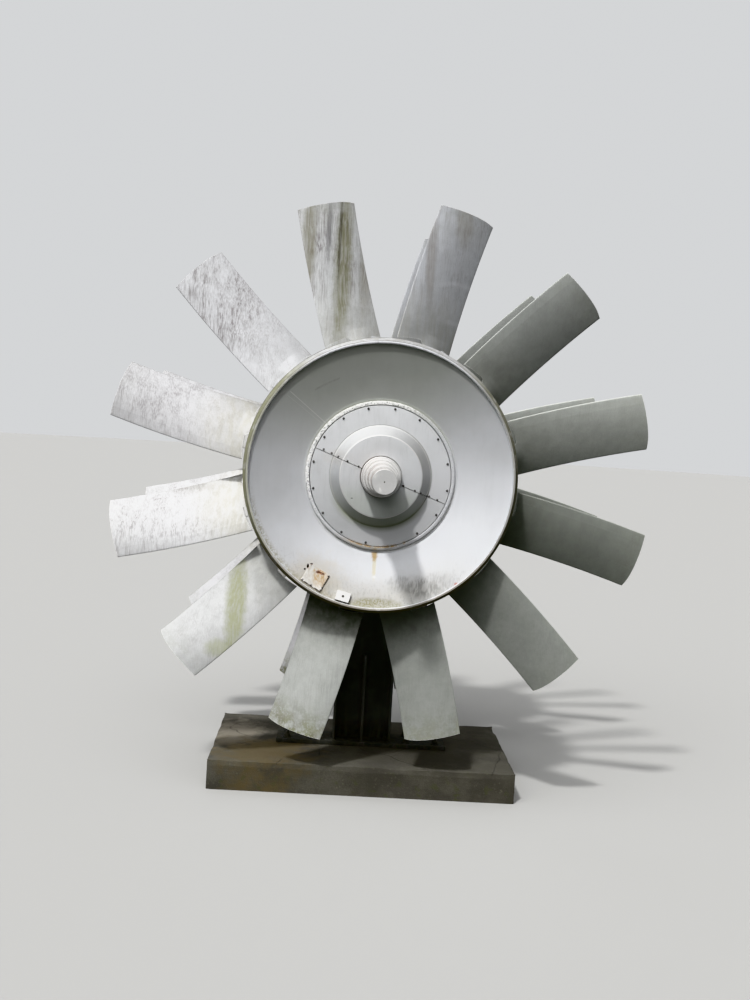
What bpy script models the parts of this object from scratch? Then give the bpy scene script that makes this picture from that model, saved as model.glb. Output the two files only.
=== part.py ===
"""Two-stage axial fan rotor, set up on a steel column over a concrete plinth.

The origin is the centre of the plinth's underside. The rotor turns about the Y axis at AXIS_HEIGHT,
its front faces -Y, and a clock angle is counted clockwise from the top, as seen from the front.
A hub is drawn as (radius, forward) points, where forward is the distance from the wheel's
mid-plane towards the outer end of the rotor.
"""

import math

import bmesh
import bpy
from mathutils import Vector

GAP = 0.0003
MERGE_DISTANCE = 0.00005
SHARP_ANGLE = math.radians(25)

# Plinth, base plate and column
PLINTH_SIZE = (1.52, 1.00, 0.15)
BASE_PLATE_SIZE = (0.88, 0.22, 0.020)
COLUMN_WIDTH = 0.300
COLUMN_DEPTH = 0.200
WEB_THICKNESS = 0.010
FLANGE_THICKNESS = 0.012
RIB_THICKNESS = 0.014
RIB_HEIGHT = 0.445
SADDLE_SIZE = (0.46, 0.28, 0.030)

# Bearing
AXIS_HEIGHT = 1.585
BEARING_WIDTH = 0.40
BEARING_LENGTH = 0.24
BEARING_DROP = 0.20
CAP_FOOT_HEIGHT = 0.045
CAP_RADIUS = 0.175
CROWN_STEPS = 20
RUNNING_GAP = 0.0006

# Wheels and blades
ROW_SPACING = 1.157
BLADE_COUNT = 12
FIRST_CLOCK = math.radians(-14.7)
TIP_RADIUS = 1.300
ROOT_RADIUS = 0.655
ROOT_RISE = 0.013
BLADE_HALF_WIDTH = 0.134
TIP_STAGGER = math.radians(14.6)
ROOT_STAGGER = math.radians(24.0)
BLADE_CAMBER = 0.010
BLADE_BOW = 0.009
BLADE_STATIONS = 5
TIP_CORNER_CUT = 0.010
COLLAR_RADIUS = 0.046
COLLAR_TOP_RADIUS = 0.036
COLLAR_OFFSET = 0.035
COLLAR_TOP = 0.690
# The blade's cross-section: place across it from -1, the near edge, to 1, and half its thickness there
BLADE_SECTION = [(-1.0, 0.003), (-0.82, 0.006), (-0.4, 0.009), (0.1, 0.009), (0.6, 0.006), (1.0, 0.0025)]

# Hub
HUB_RADIUS = 0.650
HUB_BACK = -0.175
HUB_SHOULDER = 0.050
BEVEL_FORWARD = 0.142
BEVEL_RADIUS = 0.642
LIP_FORWARD = 0.176
LIP_RADIUS = 0.6265
DISH_RADIUS = 0.6153
DISH_FORWARD = 0.158
DISH_FLOOR_RADIUS = 0.353
DISH_FLOOR_FORWARD = 0.088
DISH_CURVE = 1.12
DISH_RINGS = 4
NECK_RADIUS = 0.349
NECK_FORWARD = 0.106
COVER_RADIUS = 0.331
COVER_FORWARD = 0.100
HUB_WALL = 0.012
PLATE = 0.008

# Cover cap over the hub's middle
CAP_BASE_RADIUS = 0.236
CAP_FACE_RADIUS = 0.193
CAP_FORWARD = 0.170
SPLIT_CLOCK = math.radians(110.3)
CUT_MARGIN = 1.2

# Shaft. A step is its radius and how far forward it ends, and the drill is its radius and depth
SHAFT_RADIUS = 0.125
SHAFT_STEPS = [(0.094, 0.215), (0.088, 0.270), (0.077, 0.340), (0.066, 0.500), (0.0555, 0.650)]
CENTRE_DRILL = (0.004, 0.006)

# Small plates on the front dish: clock angle, radius, size across, size along the radius, thickness
HATCH = (math.radians(209.5), 0.564, 0.106, 0.090, 0.005)
BLOCK = (math.radians(194.2), 0.590, 0.066, 0.046, 0.016)
BLOCK_HOLE_RADIUS = 0.006
PLATE_CLEARANCE = 0.0012

HUB_SIDES = 72
SHAFT_SIDES = 48
COLLAR_SIDES = 16


def clear_scene():
    for thing in list(bpy.data.objects):
        bpy.data.objects.remove(thing, do_unlink=True)


def make_collection(name):
    collection = bpy.data.collections.new(name)
    bpy.context.scene.collection.children.link(collection)
    return collection


def make_material(name, colour, roughness, metallic):
    material = bpy.data.materials.new(name)
    material.use_nodes = True
    shader = material.node_tree.nodes["Principled BSDF"]
    shader.inputs["Base Color"].default_value = (*colour, 1.0)
    shader.inputs["Roughness"].default_value = roughness
    shader.inputs["Metallic"].default_value = metallic
    return material


def place(name, data, material, collection, parent=None, location=(0, 0, 0), rotation=(0, 0, 0)):
    thing = bpy.data.objects.new(name, data)
    if material and not data.materials:
        data.materials.append(material)
    thing.location = location
    thing.rotation_euler = rotation
    thing.parent = parent
    collection.objects.link(thing)
    return thing


def box_mesh(name, size):
    mesh = bpy.data.meshes.new(name)
    shape = bmesh.new()
    bmesh.ops.create_cube(shape, size=1.0)
    bmesh.ops.scale(shape, vec=Vector(size), verts=shape.verts)
    shape.to_mesh(mesh)
    shape.free()
    return mesh


def cone_mesh(name, bottom, top, depth, sides):
    mesh = bpy.data.meshes.new(name)
    shape = bmesh.new()
    bmesh.ops.create_cone(shape, cap_ends=True, segments=sides, radius1=bottom, radius2=top, depth=depth)
    shape.to_mesh(mesh)
    shape.free()
    return mesh


def turned_mesh(name, profile, sides, closed=True):
    """The mesh of a profile of (radius, height) points, turned about Z. It runs down its outer side."""
    outline = bpy.data.meshes.new(name + "_outline")
    links = [(i, i + 1) for i in range(len(profile) - 1)]
    if closed:
        links.append((len(profile) - 1, 0))
    outline.from_pydata([(radius, 0.0, height) for radius, height in profile], links, [])
    turned = bpy.data.objects.new(name + "_turned", outline)
    bpy.context.scene.collection.objects.link(turned)
    screw = turned.modifiers.new("Screw", "SCREW")
    screw.steps = sides
    screw.render_steps = sides
    screw.use_merge_vertices = True
    screw.merge_threshold = MERGE_DISTANCE
    screw.use_smooth_shade = True
    mesh = finished_mesh(turned, name)
    bpy.data.objects.remove(turned, do_unlink=True)
    mesh.set_sharp_from_angle(angle=SHARP_ANGLE)
    return mesh


def finished_mesh(thing, name):
    """A new mesh that holds the object as its modifiers leave it, in its own space."""
    bpy.context.view_layer.update()
    evaluated = thing.evaluated_get(bpy.context.evaluated_depsgraph_get())
    mesh = bpy.data.meshes.new_from_object(evaluated)
    mesh.name = name
    return mesh


def boolean(thing, other, operation):
    modifier = thing.modifiers.new(operation.title(), "BOOLEAN")
    modifier.operation = operation
    modifier.solver = "EXACT"
    modifier.object = other


def make_cutter(name, mesh, cutters, parent=None, location=(0, 0, 0), rotation=(0, 0, 0)):
    cutter = place(name, mesh, None, cutters, parent, location, rotation)
    cutter.hide_render = True
    cutter.display_type = "WIRE"
    return cutter


def outline_object(name, points, depth, material, collection, location):
    """A flat outline of (x, z) points, extruded evenly along Y."""
    curve = bpy.data.curves.new(name, "CURVE")
    curve.dimensions = "2D"
    curve.fill_mode = "BOTH"
    curve.extrude = depth / 2
    spline = curve.splines.new("POLY")
    spline.points.add(len(points) - 1)
    for point, (x, z) in zip(spline.points, points):
        point.co = (x, z, 0.0, 1.0)
    spline.use_cyclic_u = True
    return place(name, curve, material, collection, None, location, (math.pi / 2, 0, 0))


def arc(radius, start, end, steps):
    """Points on a circle about the origin, with angles counted from +X towards +Z."""
    angles = [start + (end - start) * i / steps for i in range(steps + 1)]
    return [(radius * math.cos(angle), radius * math.sin(angle)) for angle in angles]


def build_stand(parts, looks):
    """The plinth, the I-section column with its centre ribs, and the saddle plate on top."""
    plinth_top = PLINTH_SIZE[2]
    plate_bottom = plinth_top + GAP
    column_bottom = plate_bottom + BASE_PLATE_SIZE[2] + GAP
    saddle_bottom = AXIS_HEIGHT - BEARING_DROP - GAP - SADDLE_SIZE[2]
    column_height = saddle_bottom - GAP - column_bottom
    column_middle = column_bottom + column_height / 2
    flange_x = (COLUMN_WIDTH - FLANGE_THICKNESS) / 2
    web_width = COLUMN_WIDTH - 2 * FLANGE_THICKNESS - 2 * GAP
    rib_depth = (COLUMN_DEPTH - WEB_THICKNESS) / 2 - GAP
    rib_y = WEB_THICKNESS / 2 + GAP + rib_depth / 2

    def block(name, size, middle, material):
        return place(name, box_mesh(name, size), material, parts, None, middle)

    block("plinth", PLINTH_SIZE, (0, 0, plinth_top / 2), looks["concrete"])
    block("base_plate", BASE_PLATE_SIZE, (0, 0, plate_bottom + BASE_PLATE_SIZE[2] / 2), looks["stand"])
    block("column_web", (web_width, WEB_THICKNESS, column_height), (0, 0, column_middle), looks["stand"])
    for side, name in ((-1, "column_flange_left"), (1, "column_flange_right")):
        size = (FLANGE_THICKNESS, COLUMN_DEPTH, column_height)
        block(name, size, (side * flange_x, 0, column_middle), looks["stand"])
    for side, name in ((-1, "front_rib"), (1, "rear_rib")):
        size = (RIB_THICKNESS, rib_depth, RIB_HEIGHT)
        block(name, size, (0, side * rib_y, column_bottom + RIB_HEIGHT / 2), looks["stand"])
    block("saddle_plate", SADDLE_SIZE, (0, 0, saddle_bottom + SADDLE_SIZE[2] / 2), looks["stand"])


def build_bearing(parts, looks):
    """A split block round the shaft: a square lower half, and a round cap with two feet."""
    half = BEARING_WIDTH / 2
    bore = SHAFT_RADIUS + RUNNING_GAP
    half_sides = SHAFT_SIDES // 2
    joint = GAP / 2
    lower_bore = [(x, z - joint) for x, z in arc(bore, 0.0, -math.pi, half_sides)]
    lower = [(-half, -joint), (-half, -BEARING_DROP), (half, -BEARING_DROP), (half, -joint)] + lower_bore
    upper_bore = [(x, z + joint) for x, z in arc(bore, math.pi, 0.0, half_sides)]
    foot_angle = math.asin(CAP_FOOT_HEIGHT / CAP_RADIUS)
    crown = arc(CAP_RADIUS, foot_angle, math.pi - foot_angle, CROWN_STEPS)
    upper = upper_bore + [(half, joint), (half, CAP_FOOT_HEIGHT)] + crown
    upper += [(-half, CAP_FOOT_HEIGHT), (-half, joint)]
    axis = (0, 0, AXIS_HEIGHT)
    outline_object("bearing_base", lower, BEARING_LENGTH, looks["bearing"], parts, axis)
    outline_object("bearing_cap", upper, BEARING_LENGTH, looks["bearing"], parts, axis)


def build_shaft(parts, rotor, looks):
    """One turned shaft, with the same stepped nose at both ends."""
    row = ROW_SPACING / 2
    start = row + HUB_BACK + HUB_WALL + PLATE
    nose = [(SHAFT_RADIUS, start)]
    for radius, end in SHAFT_STEPS:
        nose += [(radius, start), (radius, row + end)]
        start = row + end
    drill_radius, drill_depth = CENTRE_DRILL
    nose += [(drill_radius, start), (0.0, start - drill_depth)]
    profile = list(reversed(nose)) + [(radius, -height) for radius, height in nose]
    mesh = turned_mesh("shaft", profile, SHAFT_SIDES, closed=False)
    place("shaft", mesh, looks["shaft"], parts, rotor, (0, 0, 0), (math.pi / 2, 0, 0))


def drum_profile():
    """The hub's outer shell: a cup with its wall towards the middle of the rotor."""
    inner = DISH_RADIUS + GAP
    bore = SHAFT_RADIUS + GAP
    return [
        (bore, HUB_BACK + HUB_WALL),
        (inner, HUB_BACK + HUB_WALL),
        (inner, LIP_FORWARD),
        (LIP_RADIUS, LIP_FORWARD),
        (BEVEL_RADIUS, BEVEL_FORWARD),
        (HUB_RADIUS, HUB_SHOULDER),
        (HUB_RADIUS, HUB_BACK),
        (bore, HUB_BACK),
    ]


def dish_height(radius):
    """How far forward the dish's surface is at this radius. It steepens towards the lip."""
    share = (radius - DISH_FLOOR_RADIUS) / (DISH_RADIUS - DISH_FLOOR_RADIUS)
    return DISH_FLOOR_FORWARD + (DISH_FORWARD - DISH_FLOOR_FORWARD) * share ** DISH_CURVE


def dish_profile():
    """The hollow dished plate of the hub's face, ending in the raised neck round the cover."""
    neck_inner = COVER_RADIUS + GAP
    step = (DISH_RADIUS - DISH_FLOOR_RADIUS) / DISH_RINGS
    face = [DISH_FLOOR_RADIUS + step * ring for ring in range(DISH_RINGS + 1)]
    neck = [(neck_inner, DISH_FLOOR_FORWARD - PLATE), (neck_inner, NECK_FORWARD), (NECK_RADIUS, NECK_FORWARD)]
    front = [(radius, dish_height(radius)) for radius in face]
    back = [(radius, dish_height(radius) - PLATE) for radius in reversed(face)]
    return neck + front + back


def cover_profile():
    """The cover over the hub's middle: a bolted rim, then a bevelled cap round the shaft."""
    bore = SHAFT_STEPS[0][0] + GAP
    return [
        (bore, CAP_FORWARD - PLATE),
        (bore, CAP_FORWARD),
        (CAP_FACE_RADIUS, CAP_FORWARD),
        (CAP_BASE_RADIUS, COVER_FORWARD),
        (COVER_RADIUS, COVER_FORWARD),
        (COVER_RADIUS, COVER_FORWARD - PLATE),
        (CAP_BASE_RADIUS - PLATE, COVER_FORWARD - PLATE),
        (CAP_FACE_RADIUS - PLATE, CAP_FORWARD - PLATE),
    ]


def build_hub(row, outward, parts, cutters, rotor, looks):
    """One wheel's hub. Its open side faces outward, -1 or 1 along Y, and its nodes' names start with row."""
    place_y = outward * ROW_SPACING / 2
    turn = (-outward * math.pi / 2, 0, 0)

    def turned(name, profile, look):
        mesh = turned_mesh(name, profile, HUB_SIDES)
        return place(name, mesh, looks[look], parts, rotor, (0, place_y, 0), turn)

    turned(row + "_hub_drum", drum_profile(), "hub")
    turned(row + "_hub_dish", dish_profile(), "hub")
    cut_height = CUT_MARGIN * COVER_RADIUS
    cut_width = 2 * cut_height
    across = SPLIT_CLOCK - math.pi / 2
    for side, half in ((1, "upper"), (-1, "lower")):
        cover = turned(f"{row}_cover_{half}", cover_profile(), "hub")
        away = -side * (cut_height - GAP) / 2
        where = (away * math.sin(across), place_y, away * math.cos(across))
        mesh = box_mesh("cover_half_space", (cut_width, cut_width, cut_height))
        cutter = make_cutter(f"{row}_{half}_cut", mesh, cutters, rotor, where, (0, across, 0))
        boolean(cover, cutter, "DIFFERENCE")


def blade_section(share):
    """One closed ring of points round the blade, at this share of its length from the root."""
    slope = math.tan(ROOT_STAGGER + (TIP_STAGGER - ROOT_STAGGER) * share)
    bow = BLADE_BOW * 4 * share * (1 - share)
    radius = ROOT_RADIUS + (TIP_RADIUS - ROOT_RADIUS) * share

    def point(across, offset):
        x = across * BLADE_HALF_WIDTH
        y = x * slope - BLADE_CAMBER * (1 - across ** 2) + offset
        rise = ROOT_RISE * (1 - across ** 2) * (1 - share) - TIP_CORNER_CUT * max(0, across) ** 4 * share
        return Vector((x - bow, y, math.sqrt((radius + rise) ** 2 - x ** 2)))

    front = [point(across, -half) for across, half in BLADE_SECTION]
    back = [point(across, half) for across, half in reversed(BLADE_SECTION)]
    return front + back


def blade_mesh(cutters):
    """A cambered, twisted blade with the round collar that it turns on in the hub."""
    shape = bmesh.new()
    rings = []
    for station in range(BLADE_STATIONS):
        share = station / (BLADE_STATIONS - 1)
        rings.append([shape.verts.new(point) for point in blade_section(share)])
    count = len(rings[0])
    for low, high in zip(rings, rings[1:]):
        for i in range(count):
            j = (i + 1) % count
            shape.faces.new((low[i], low[j], high[j], high[i]))
    for i in range(count // 2 - 1):
        pair = (i, i + 1, count - 2 - i, count - 1 - i)
        shape.faces.new([rings[0][k] for k in reversed(pair)])
        shape.faces.new([rings[-1][k] for k in pair])
    bmesh.ops.recalc_face_normals(shape, faces=shape.faces)
    sheet = bpy.data.meshes.new("blade_sheet")
    shape.to_mesh(sheet)
    shape.free()
    blade = place("blade_pattern", sheet, None, cutters)
    collar_height = COLLAR_TOP - HUB_RADIUS - GAP
    collar_y = COLLAR_OFFSET * math.tan(ROOT_STAGGER)
    middle = (COLLAR_OFFSET, collar_y, HUB_RADIUS + GAP + collar_height / 2)
    collar_shape = cone_mesh("collar", COLLAR_RADIUS, COLLAR_TOP_RADIUS, collar_height, COLLAR_SIDES)
    collar = make_cutter("collar_pattern", collar_shape, cutters, None, middle)
    boolean(blade, collar, "UNION")
    mesh = finished_mesh(blade, "blade")
    for pattern in (blade, collar):
        bpy.data.objects.remove(pattern, do_unlink=True)
    mesh.shade_smooth()
    mesh.set_sharp_from_angle(angle=SHARP_ANGLE)
    return mesh


def build_blades(parts, cutters, rotor, looks):
    mesh = blade_mesh(cutters)
    for outward, row in ((-1, "front"), (1, "rear")):
        for number in range(BLADE_COUNT):
            clock = FIRST_CLOCK + number * math.tau / BLADE_COUNT
            name = f"{row}_blade_{number + 1:02d}"
            where = (0, outward * ROW_SPACING / 2, 0)
            place(name, mesh, looks["blade"], parts, rotor, where, (0, clock, 0))


def build_small_plates(parts, cutters, rotor, looks):
    """The hatch plate and the balance block, flat on the slope of the front dish."""
    for name, (clock, radius, across, along, thick) in (("hatch_plate", HATCH), ("balance_block", BLOCK)):
        inner, outer = radius - along / 2, radius + along / 2
        tilt = math.atan2(dish_height(outer) - dish_height(inner), along)
        rise = (across / 2) ** 2 / (2 * radius) * math.tan(tilt) + PLATE_CLEARANCE
        lift = rise + thick / 2
        reach = radius - lift * math.sin(tilt)
        y = -ROW_SPACING / 2 - dish_height(radius) - lift * math.cos(tilt)
        holder = bpy.data.objects.new(name + "_holder", None)
        holder.parent = rotor
        holder.rotation_euler = (0, clock, 0)
        parts.objects.link(holder)
        mesh = box_mesh(name, (across, thick, along))
        plate = place(name, mesh, looks["hub"], parts, holder, (0, y, reach), (tilt, 0, 0))
        if name == "balance_block":
            hole = cone_mesh("block_hole", BLOCK_HOLE_RADIUS, BLOCK_HOLE_RADIUS, 3 * thick, COLLAR_SIDES)
            cutter = make_cutter("block_hole", hole, cutters, plate, (0, 0, 0), (math.pi / 2, 0, 0))
            boolean(plate, cutter, "DIFFERENCE")


def main():
    clear_scene()
    parts = make_collection("axial_fan_rotor")
    cutters = make_collection("cutters")
    looks = {
        "blade": make_material("blade_paint", (0.42, 0.43, 0.41), 0.55, 0.3),
        "hub": make_material("hub_paint", (0.50, 0.50, 0.51), 0.50, 0.3),
        "shaft": make_material("shaft_steel", (0.45, 0.45, 0.45), 0.40, 0.8),
        "stand": make_material("stand_paint", (0.020, 0.021, 0.018), 0.60, 0.0),
        "bearing": make_material("bearing_iron", (0.12, 0.12, 0.12), 0.60, 0.2),
        "concrete": make_material("plinth_concrete", (0.24, 0.22, 0.19), 0.90, 0.0),
    }
    rotor = bpy.data.objects.new("rotor_axis", None)
    rotor.location = (0, 0, AXIS_HEIGHT)
    parts.objects.link(rotor)
    build_stand(parts, looks)
    build_bearing(parts, looks)
    build_shaft(parts, rotor, looks)
    build_hub("front", -1, parts, cutters, rotor, looks)
    build_hub("rear", 1, parts, cutters, rotor, looks)
    build_blades(parts, cutters, rotor, looks)
    build_small_plates(parts, cutters, rotor, looks)


main()
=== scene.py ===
import math

import bmesh
import bpy
from mathutils import Matrix, Vector, noise


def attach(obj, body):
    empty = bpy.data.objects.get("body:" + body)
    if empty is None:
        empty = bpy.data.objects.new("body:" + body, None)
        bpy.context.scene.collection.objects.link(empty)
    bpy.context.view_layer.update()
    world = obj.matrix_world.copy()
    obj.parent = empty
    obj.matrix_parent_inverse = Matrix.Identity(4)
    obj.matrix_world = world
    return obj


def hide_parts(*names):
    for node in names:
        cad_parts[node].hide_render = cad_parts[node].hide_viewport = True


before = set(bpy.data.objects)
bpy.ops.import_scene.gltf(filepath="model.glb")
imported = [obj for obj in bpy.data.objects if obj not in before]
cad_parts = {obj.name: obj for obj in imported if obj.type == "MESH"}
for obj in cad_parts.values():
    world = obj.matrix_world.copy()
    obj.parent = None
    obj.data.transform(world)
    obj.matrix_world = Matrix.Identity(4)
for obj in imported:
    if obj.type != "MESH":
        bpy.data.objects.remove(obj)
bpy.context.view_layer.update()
print("frame loaded with", len(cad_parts), "nodes")

# Metres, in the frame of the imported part. Clock angles run clockwise from the top, seen from the front.
layout = {
    "axisHeight": 1.585,
    "rowSpacing": 1.157,
    "gap": 0.0003,
    "sharpAngle": 34,
}

camera = {
    "place": (-0.2066, -6.7673, 1.8617),
    "yaw": 1.765,
    "pitch": -3.665,
    "roll": 3.4,
    "lens": 46.8,
    "sensor": 36.0,
}


def makeCamera():
    yaw, pitch, roll = (math.radians(camera[key]) for key in ("yaw", "pitch", "roll"))
    ahead = Vector((math.sin(yaw) * math.cos(pitch), math.cos(yaw) * math.cos(pitch), math.sin(pitch)))
    level = Vector((math.cos(yaw), -math.sin(yaw), 0.0))
    raised = level.cross(ahead)
    right = math.cos(roll) * level + math.sin(roll) * raised
    up = math.cos(roll) * raised - math.sin(roll) * level
    data = bpy.data.cameras.new("photoCamera")
    data.lens = camera["lens"]
    data.sensor_width = camera["sensor"]
    data.clip_end = 200.0
    thing = bpy.data.objects.new("photoCamera", data)
    bpy.context.scene.collection.objects.link(thing)
    turn = Matrix((right, up, -ahead)).transposed().to_4x4()
    thing.matrix_world = Matrix.Translation(camera["place"]) @ turn
    bpy.context.scene.camera = thing


makeCamera()
print("camera set")


# Node helpers
def put(tree, kind, inputs=None, **settings):
    node = tree.nodes.new(kind)
    for key, value in settings.items():
        setattr(node, key, value)
    for key, value in (inputs or {}).items():
        if isinstance(value, bpy.types.NodeSocket):
            tree.links.new(value, node.inputs[key])
        else:
            node.inputs[key].default_value = value
    return node


def calc(tree, operation, *values, clamped=False):
    return put(tree, "ShaderNodeMath", dict(enumerate(values)), operation=operation,
               use_clamp=clamped).outputs[0]


def combine(operation):
    def combined(tree, first, *others):
        for other in others:
            first = calc(tree, operation, first, other)
        return first
    return combined


times, plus, larger = combine("MULTIPLY"), combine("ADD"), combine("MAXIMUM")


def along(tree, operation, *values):
    node = put(tree, "ShaderNodeVectorMath", dict(enumerate(values)), operation=operation)
    return node.outputs["Value" if operation in ("LENGTH", "DOT_PRODUCT") else "Vector"]


def axes(tree, place):
    return put(tree, "ShaderNodeSeparateXYZ", {0: place}).outputs


def remap(tree, value, low, high, start=0.0, end=1.0):
    inputs = {"Value": value, "From Min": low, "From Max": high, "To Min": start, "To Max": end}
    return put(tree, "ShaderNodeMapRange", inputs, interpolation_type="SMOOTHSTEP").outputs[0]


def scaled(tree, mask, start, end=1.0):
    return remap(tree, mask, 0.0, 1.0, start, end)


def mix(tree, amount, first, second, mode="MIX"):
    inputs = {0: amount, 6: asColour(first), 7: asColour(second)}
    return put(tree, "ShaderNodeMix", inputs, data_type="RGBA", blend_type=mode).outputs[2]


def coat(tree, colour, tint, *masks):
    # the tint lies over the colour where all the masks do
    return mix(tree, times(tree, *masks), colour, tint)


def asColour(value):
    return (*value, 1.0) if isinstance(value, tuple) and len(value) == 3 else value


def noiseAt(tree, place, scale, detail=3.0, roughness=0.6):
    inputs = {"Vector": place, "Scale": scale, "Detail": detail, "Roughness": roughness}
    return put(tree, "ShaderNodeTexNoise", inputs).outputs["Fac"]


def startGroup(title, inputs, outputs):
    tree = bpy.data.node_groups.new(title, "ShaderNodeTree")
    for name, kind, start in inputs:
        socket = tree.interface.new_socket(name, in_out="INPUT", socket_type="NodeSocket" + kind)
        socket.default_value = start
    for name in outputs:
        tree.interface.new_socket(name, in_out="OUTPUT", socket_type="NodeSocketFloat")
    return tree, tree.nodes.new("NodeGroupInput").outputs, tree.nodes.new("NodeGroupOutput").inputs


def effect(tree, title, output="Mask", **inputs):
    node = put(tree, "ShaderNodeGroup", {}, node_tree=bpy.data.node_groups[title])
    for key, value in inputs.items():
        name = key[0].upper() + key[1:]
        if isinstance(value, bpy.types.NodeSocket):
            tree.links.new(value, node.inputs[name])
        else:
            node.inputs[name].default_value = value
    return node.outputs[output]


# Effects that several finishes share
def makeDripStreaks():
    fields = [("Place", "Vector", (0, 0, 0)), ("Width", "Float", 0.012), ("Length", "Float", 0.25),
              ("Start", "Float", 0.5), ("Full", "Float", 0.65)]
    tree, given, made = startGroup("dripStreaks", fields, ["Mask"])
    wander = put(tree, "ShaderNodeTexNoise",
                 {"Vector": given["Place"], "Scale": 7.0, "Detail": 1.0}).outputs["Color"]
    shift = along(tree, "MULTIPLY", along(tree, "SUBTRACT", wander, (0.5, 0.5, 0.5)), (0.018, 0.018, 0.0))
    size = put(tree, "ShaderNodeCombineXYZ",
               {0: given["Width"], 1: given["Width"], 2: given["Length"]}).outputs[0]
    stretched = along(tree, "DIVIDE", along(tree, "ADD", given["Place"], shift), size)
    pattern = noiseAt(tree, stretched, 1.0, 4.0, 0.62)
    tree.links.new(remap(tree, pattern, given["Start"], given["Full"]), made["Mask"])


def makePatches():
    fields = [("Place", "Vector", (0, 0, 0)), ("Size", "Float", 0.2), ("Start", "Float", 0.45),
              ("Full", "Float", 0.65)]
    tree, given, made = startGroup("patches", fields, ["Mask"])
    scale = calc(tree, "DIVIDE", 1.0, given["Size"])
    pattern = noiseAt(tree, given["Place"], scale, 5.0, 0.6)
    tree.links.new(remap(tree, pattern, given["Start"], given["Full"]), made["Mask"])


def makeSpot():
    fields = [("Place", "Vector", (0, 0, 0)), ("Centre", "Vector", (0, 0, 0)),
              ("Reach", "Vector", (0.1, 0.1, 0.1)), ("Ragged", "Float", 0.3), ("Grain", "Float", 0.02)]
    tree, given, made = startGroup("spot", fields, ["Mask"])
    away = along(tree, "DIVIDE", along(tree, "SUBTRACT", given["Place"], given["Centre"]), given["Reach"])
    rough = noiseAt(tree, given["Place"], calc(tree, "DIVIDE", 1.0, given["Grain"]), 4.0, 0.65)
    push = times(tree, calc(tree, "SUBTRACT", rough, 0.5), given["Ragged"])
    distance = plus(tree, along(tree, "LENGTH", away), times(tree, push, 3.0))
    tree.links.new(remap(tree, distance, 1.0, 0.35), made["Mask"])


def makeLineMark():
    fields = [("Place", "Vector", (0, 0, 0)), ("From", "Vector", (0, 0, 0)), ("Toward", "Vector", (1, 0, 0)),
              ("Width", "Float", 0.003)]
    tree, given, made = startGroup("lineMark", fields, ["Mask"])
    flat = along(tree, "MULTIPLY", along(tree, "SUBTRACT", given["Place"], given["From"]), (1, 0, 1))
    line = along(tree, "MULTIPLY", along(tree, "SUBTRACT", given["Toward"], given["From"]), (1, 0, 1))
    share = calc(tree, "DIVIDE", along(tree, "DOT_PRODUCT", flat, line),
                 along(tree, "DOT_PRODUCT", line, line), clamped=True)
    reach = put(tree, "ShaderNodeVectorMath", {0: line, "Scale": share}, operation="SCALE").outputs[0]
    distance = along(tree, "LENGTH", along(tree, "SUBTRACT", flat, reach))
    tree.links.new(remap(tree, distance, given["Width"], 0.0), made["Mask"])


def makeWornEdges():
    fields = [("Radius", "Float", 0.004), ("Start", "Float", 0.02), ("Full", "Float", 0.12)]
    tree, given, made = startGroup("wornEdges", fields, ["Mask"])
    rounded = put(tree, "ShaderNodeBevel", {"Radius": given["Radius"]}, samples=4).outputs[0]
    normal = put(tree, "ShaderNodeNewGeometry").outputs["Normal"]
    bend = calc(tree, "SUBTRACT", 1.0, along(tree, "DOT_PRODUCT", rounded, normal))
    place = put(tree, "ShaderNodeTexCoord").outputs["Object"]
    broken = times(tree, bend, remap(tree, noiseAt(tree, place, 60.0), 0.35, 0.6, 0.3, 1.5))
    tree.links.new(remap(tree, broken, given["Start"], given["Full"]), made["Mask"])


# darkens colour where ambient occlusion finds corners and recesses: dirt gathered there and painted shade
def makeCornerDirtAndShade():
    fields = [("Distance", "Float", 0.03), ("Start", "Float", 0.25), ("Full", "Float", 0.75)]
    tree, given, made = startGroup("cornerDirtAndShade", fields, ["Mask"])
    clear = put(tree, "ShaderNodeAmbientOcclusion", {"Distance": given["Distance"]}, samples=6).outputs["AO"]
    closed = calc(tree, "SUBTRACT", 1.0, clear)
    tree.links.new(remap(tree, closed, given["Start"], given["Full"]), made["Mask"])


def makeSheetSkin():
    fields = [("Place", "Vector", (0, 0, 0)), ("Wave", "Float", 0.3), ("WaveDepth", "Float", 0.001),
              ("Grain", "Float", 0.004), ("GrainDepth", "Float", 0.00004)]
    tree, given, made = startGroup("sheetSkin", fields, ["Height"])
    slow = noiseAt(tree, given["Place"], calc(tree, "DIVIDE", 1.0, given["Wave"]), 1.0, 0.4)
    fine = noiseAt(tree, given["Place"], calc(tree, "DIVIDE", 1.0, given["Grain"]), 4.0, 0.7)
    height = plus(tree, times(tree, slow, given["WaveDepth"]), times(tree, fine, given["GrainDepth"]))
    tree.links.new(height, made["Height"])


def makeHubClock():
    tree, given, made = startGroup("hubClock", [("Place", "Vector", (0, 0, 0))], ["Radius", "Clock"])
    parts = axes(tree, given["Place"])
    rise = calc(tree, "SUBTRACT", parts["Z"], layout["axisHeight"])
    square = plus(tree, times(tree, parts["X"], parts["X"]), times(tree, rise, rise))
    tree.links.new(calc(tree, "SQRT", square), made["Radius"])
    tree.links.new(calc(tree, "ARCTAN2", parts["X"], rise), made["Clock"])


for makeEffect in (makeDripStreaks, makePatches, makeSpot, makeLineMark, makeWornEdges, makeCornerDirtAndShade,
                   makeSheetSkin, makeHubClock):
    makeEffect()
print("shared effects made")


def startFinish(title, lobe="MULTI_GGX"):
    material = bpy.data.materials.new(title)
    material.use_nodes = True
    tree = material.node_tree
    tree.nodes["Principled BSDF"].distribution = lobe
    place = put(tree, "ShaderNodeTexCoord").outputs["Object"]
    return material, tree, tree.nodes["Principled BSDF"], place


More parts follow.
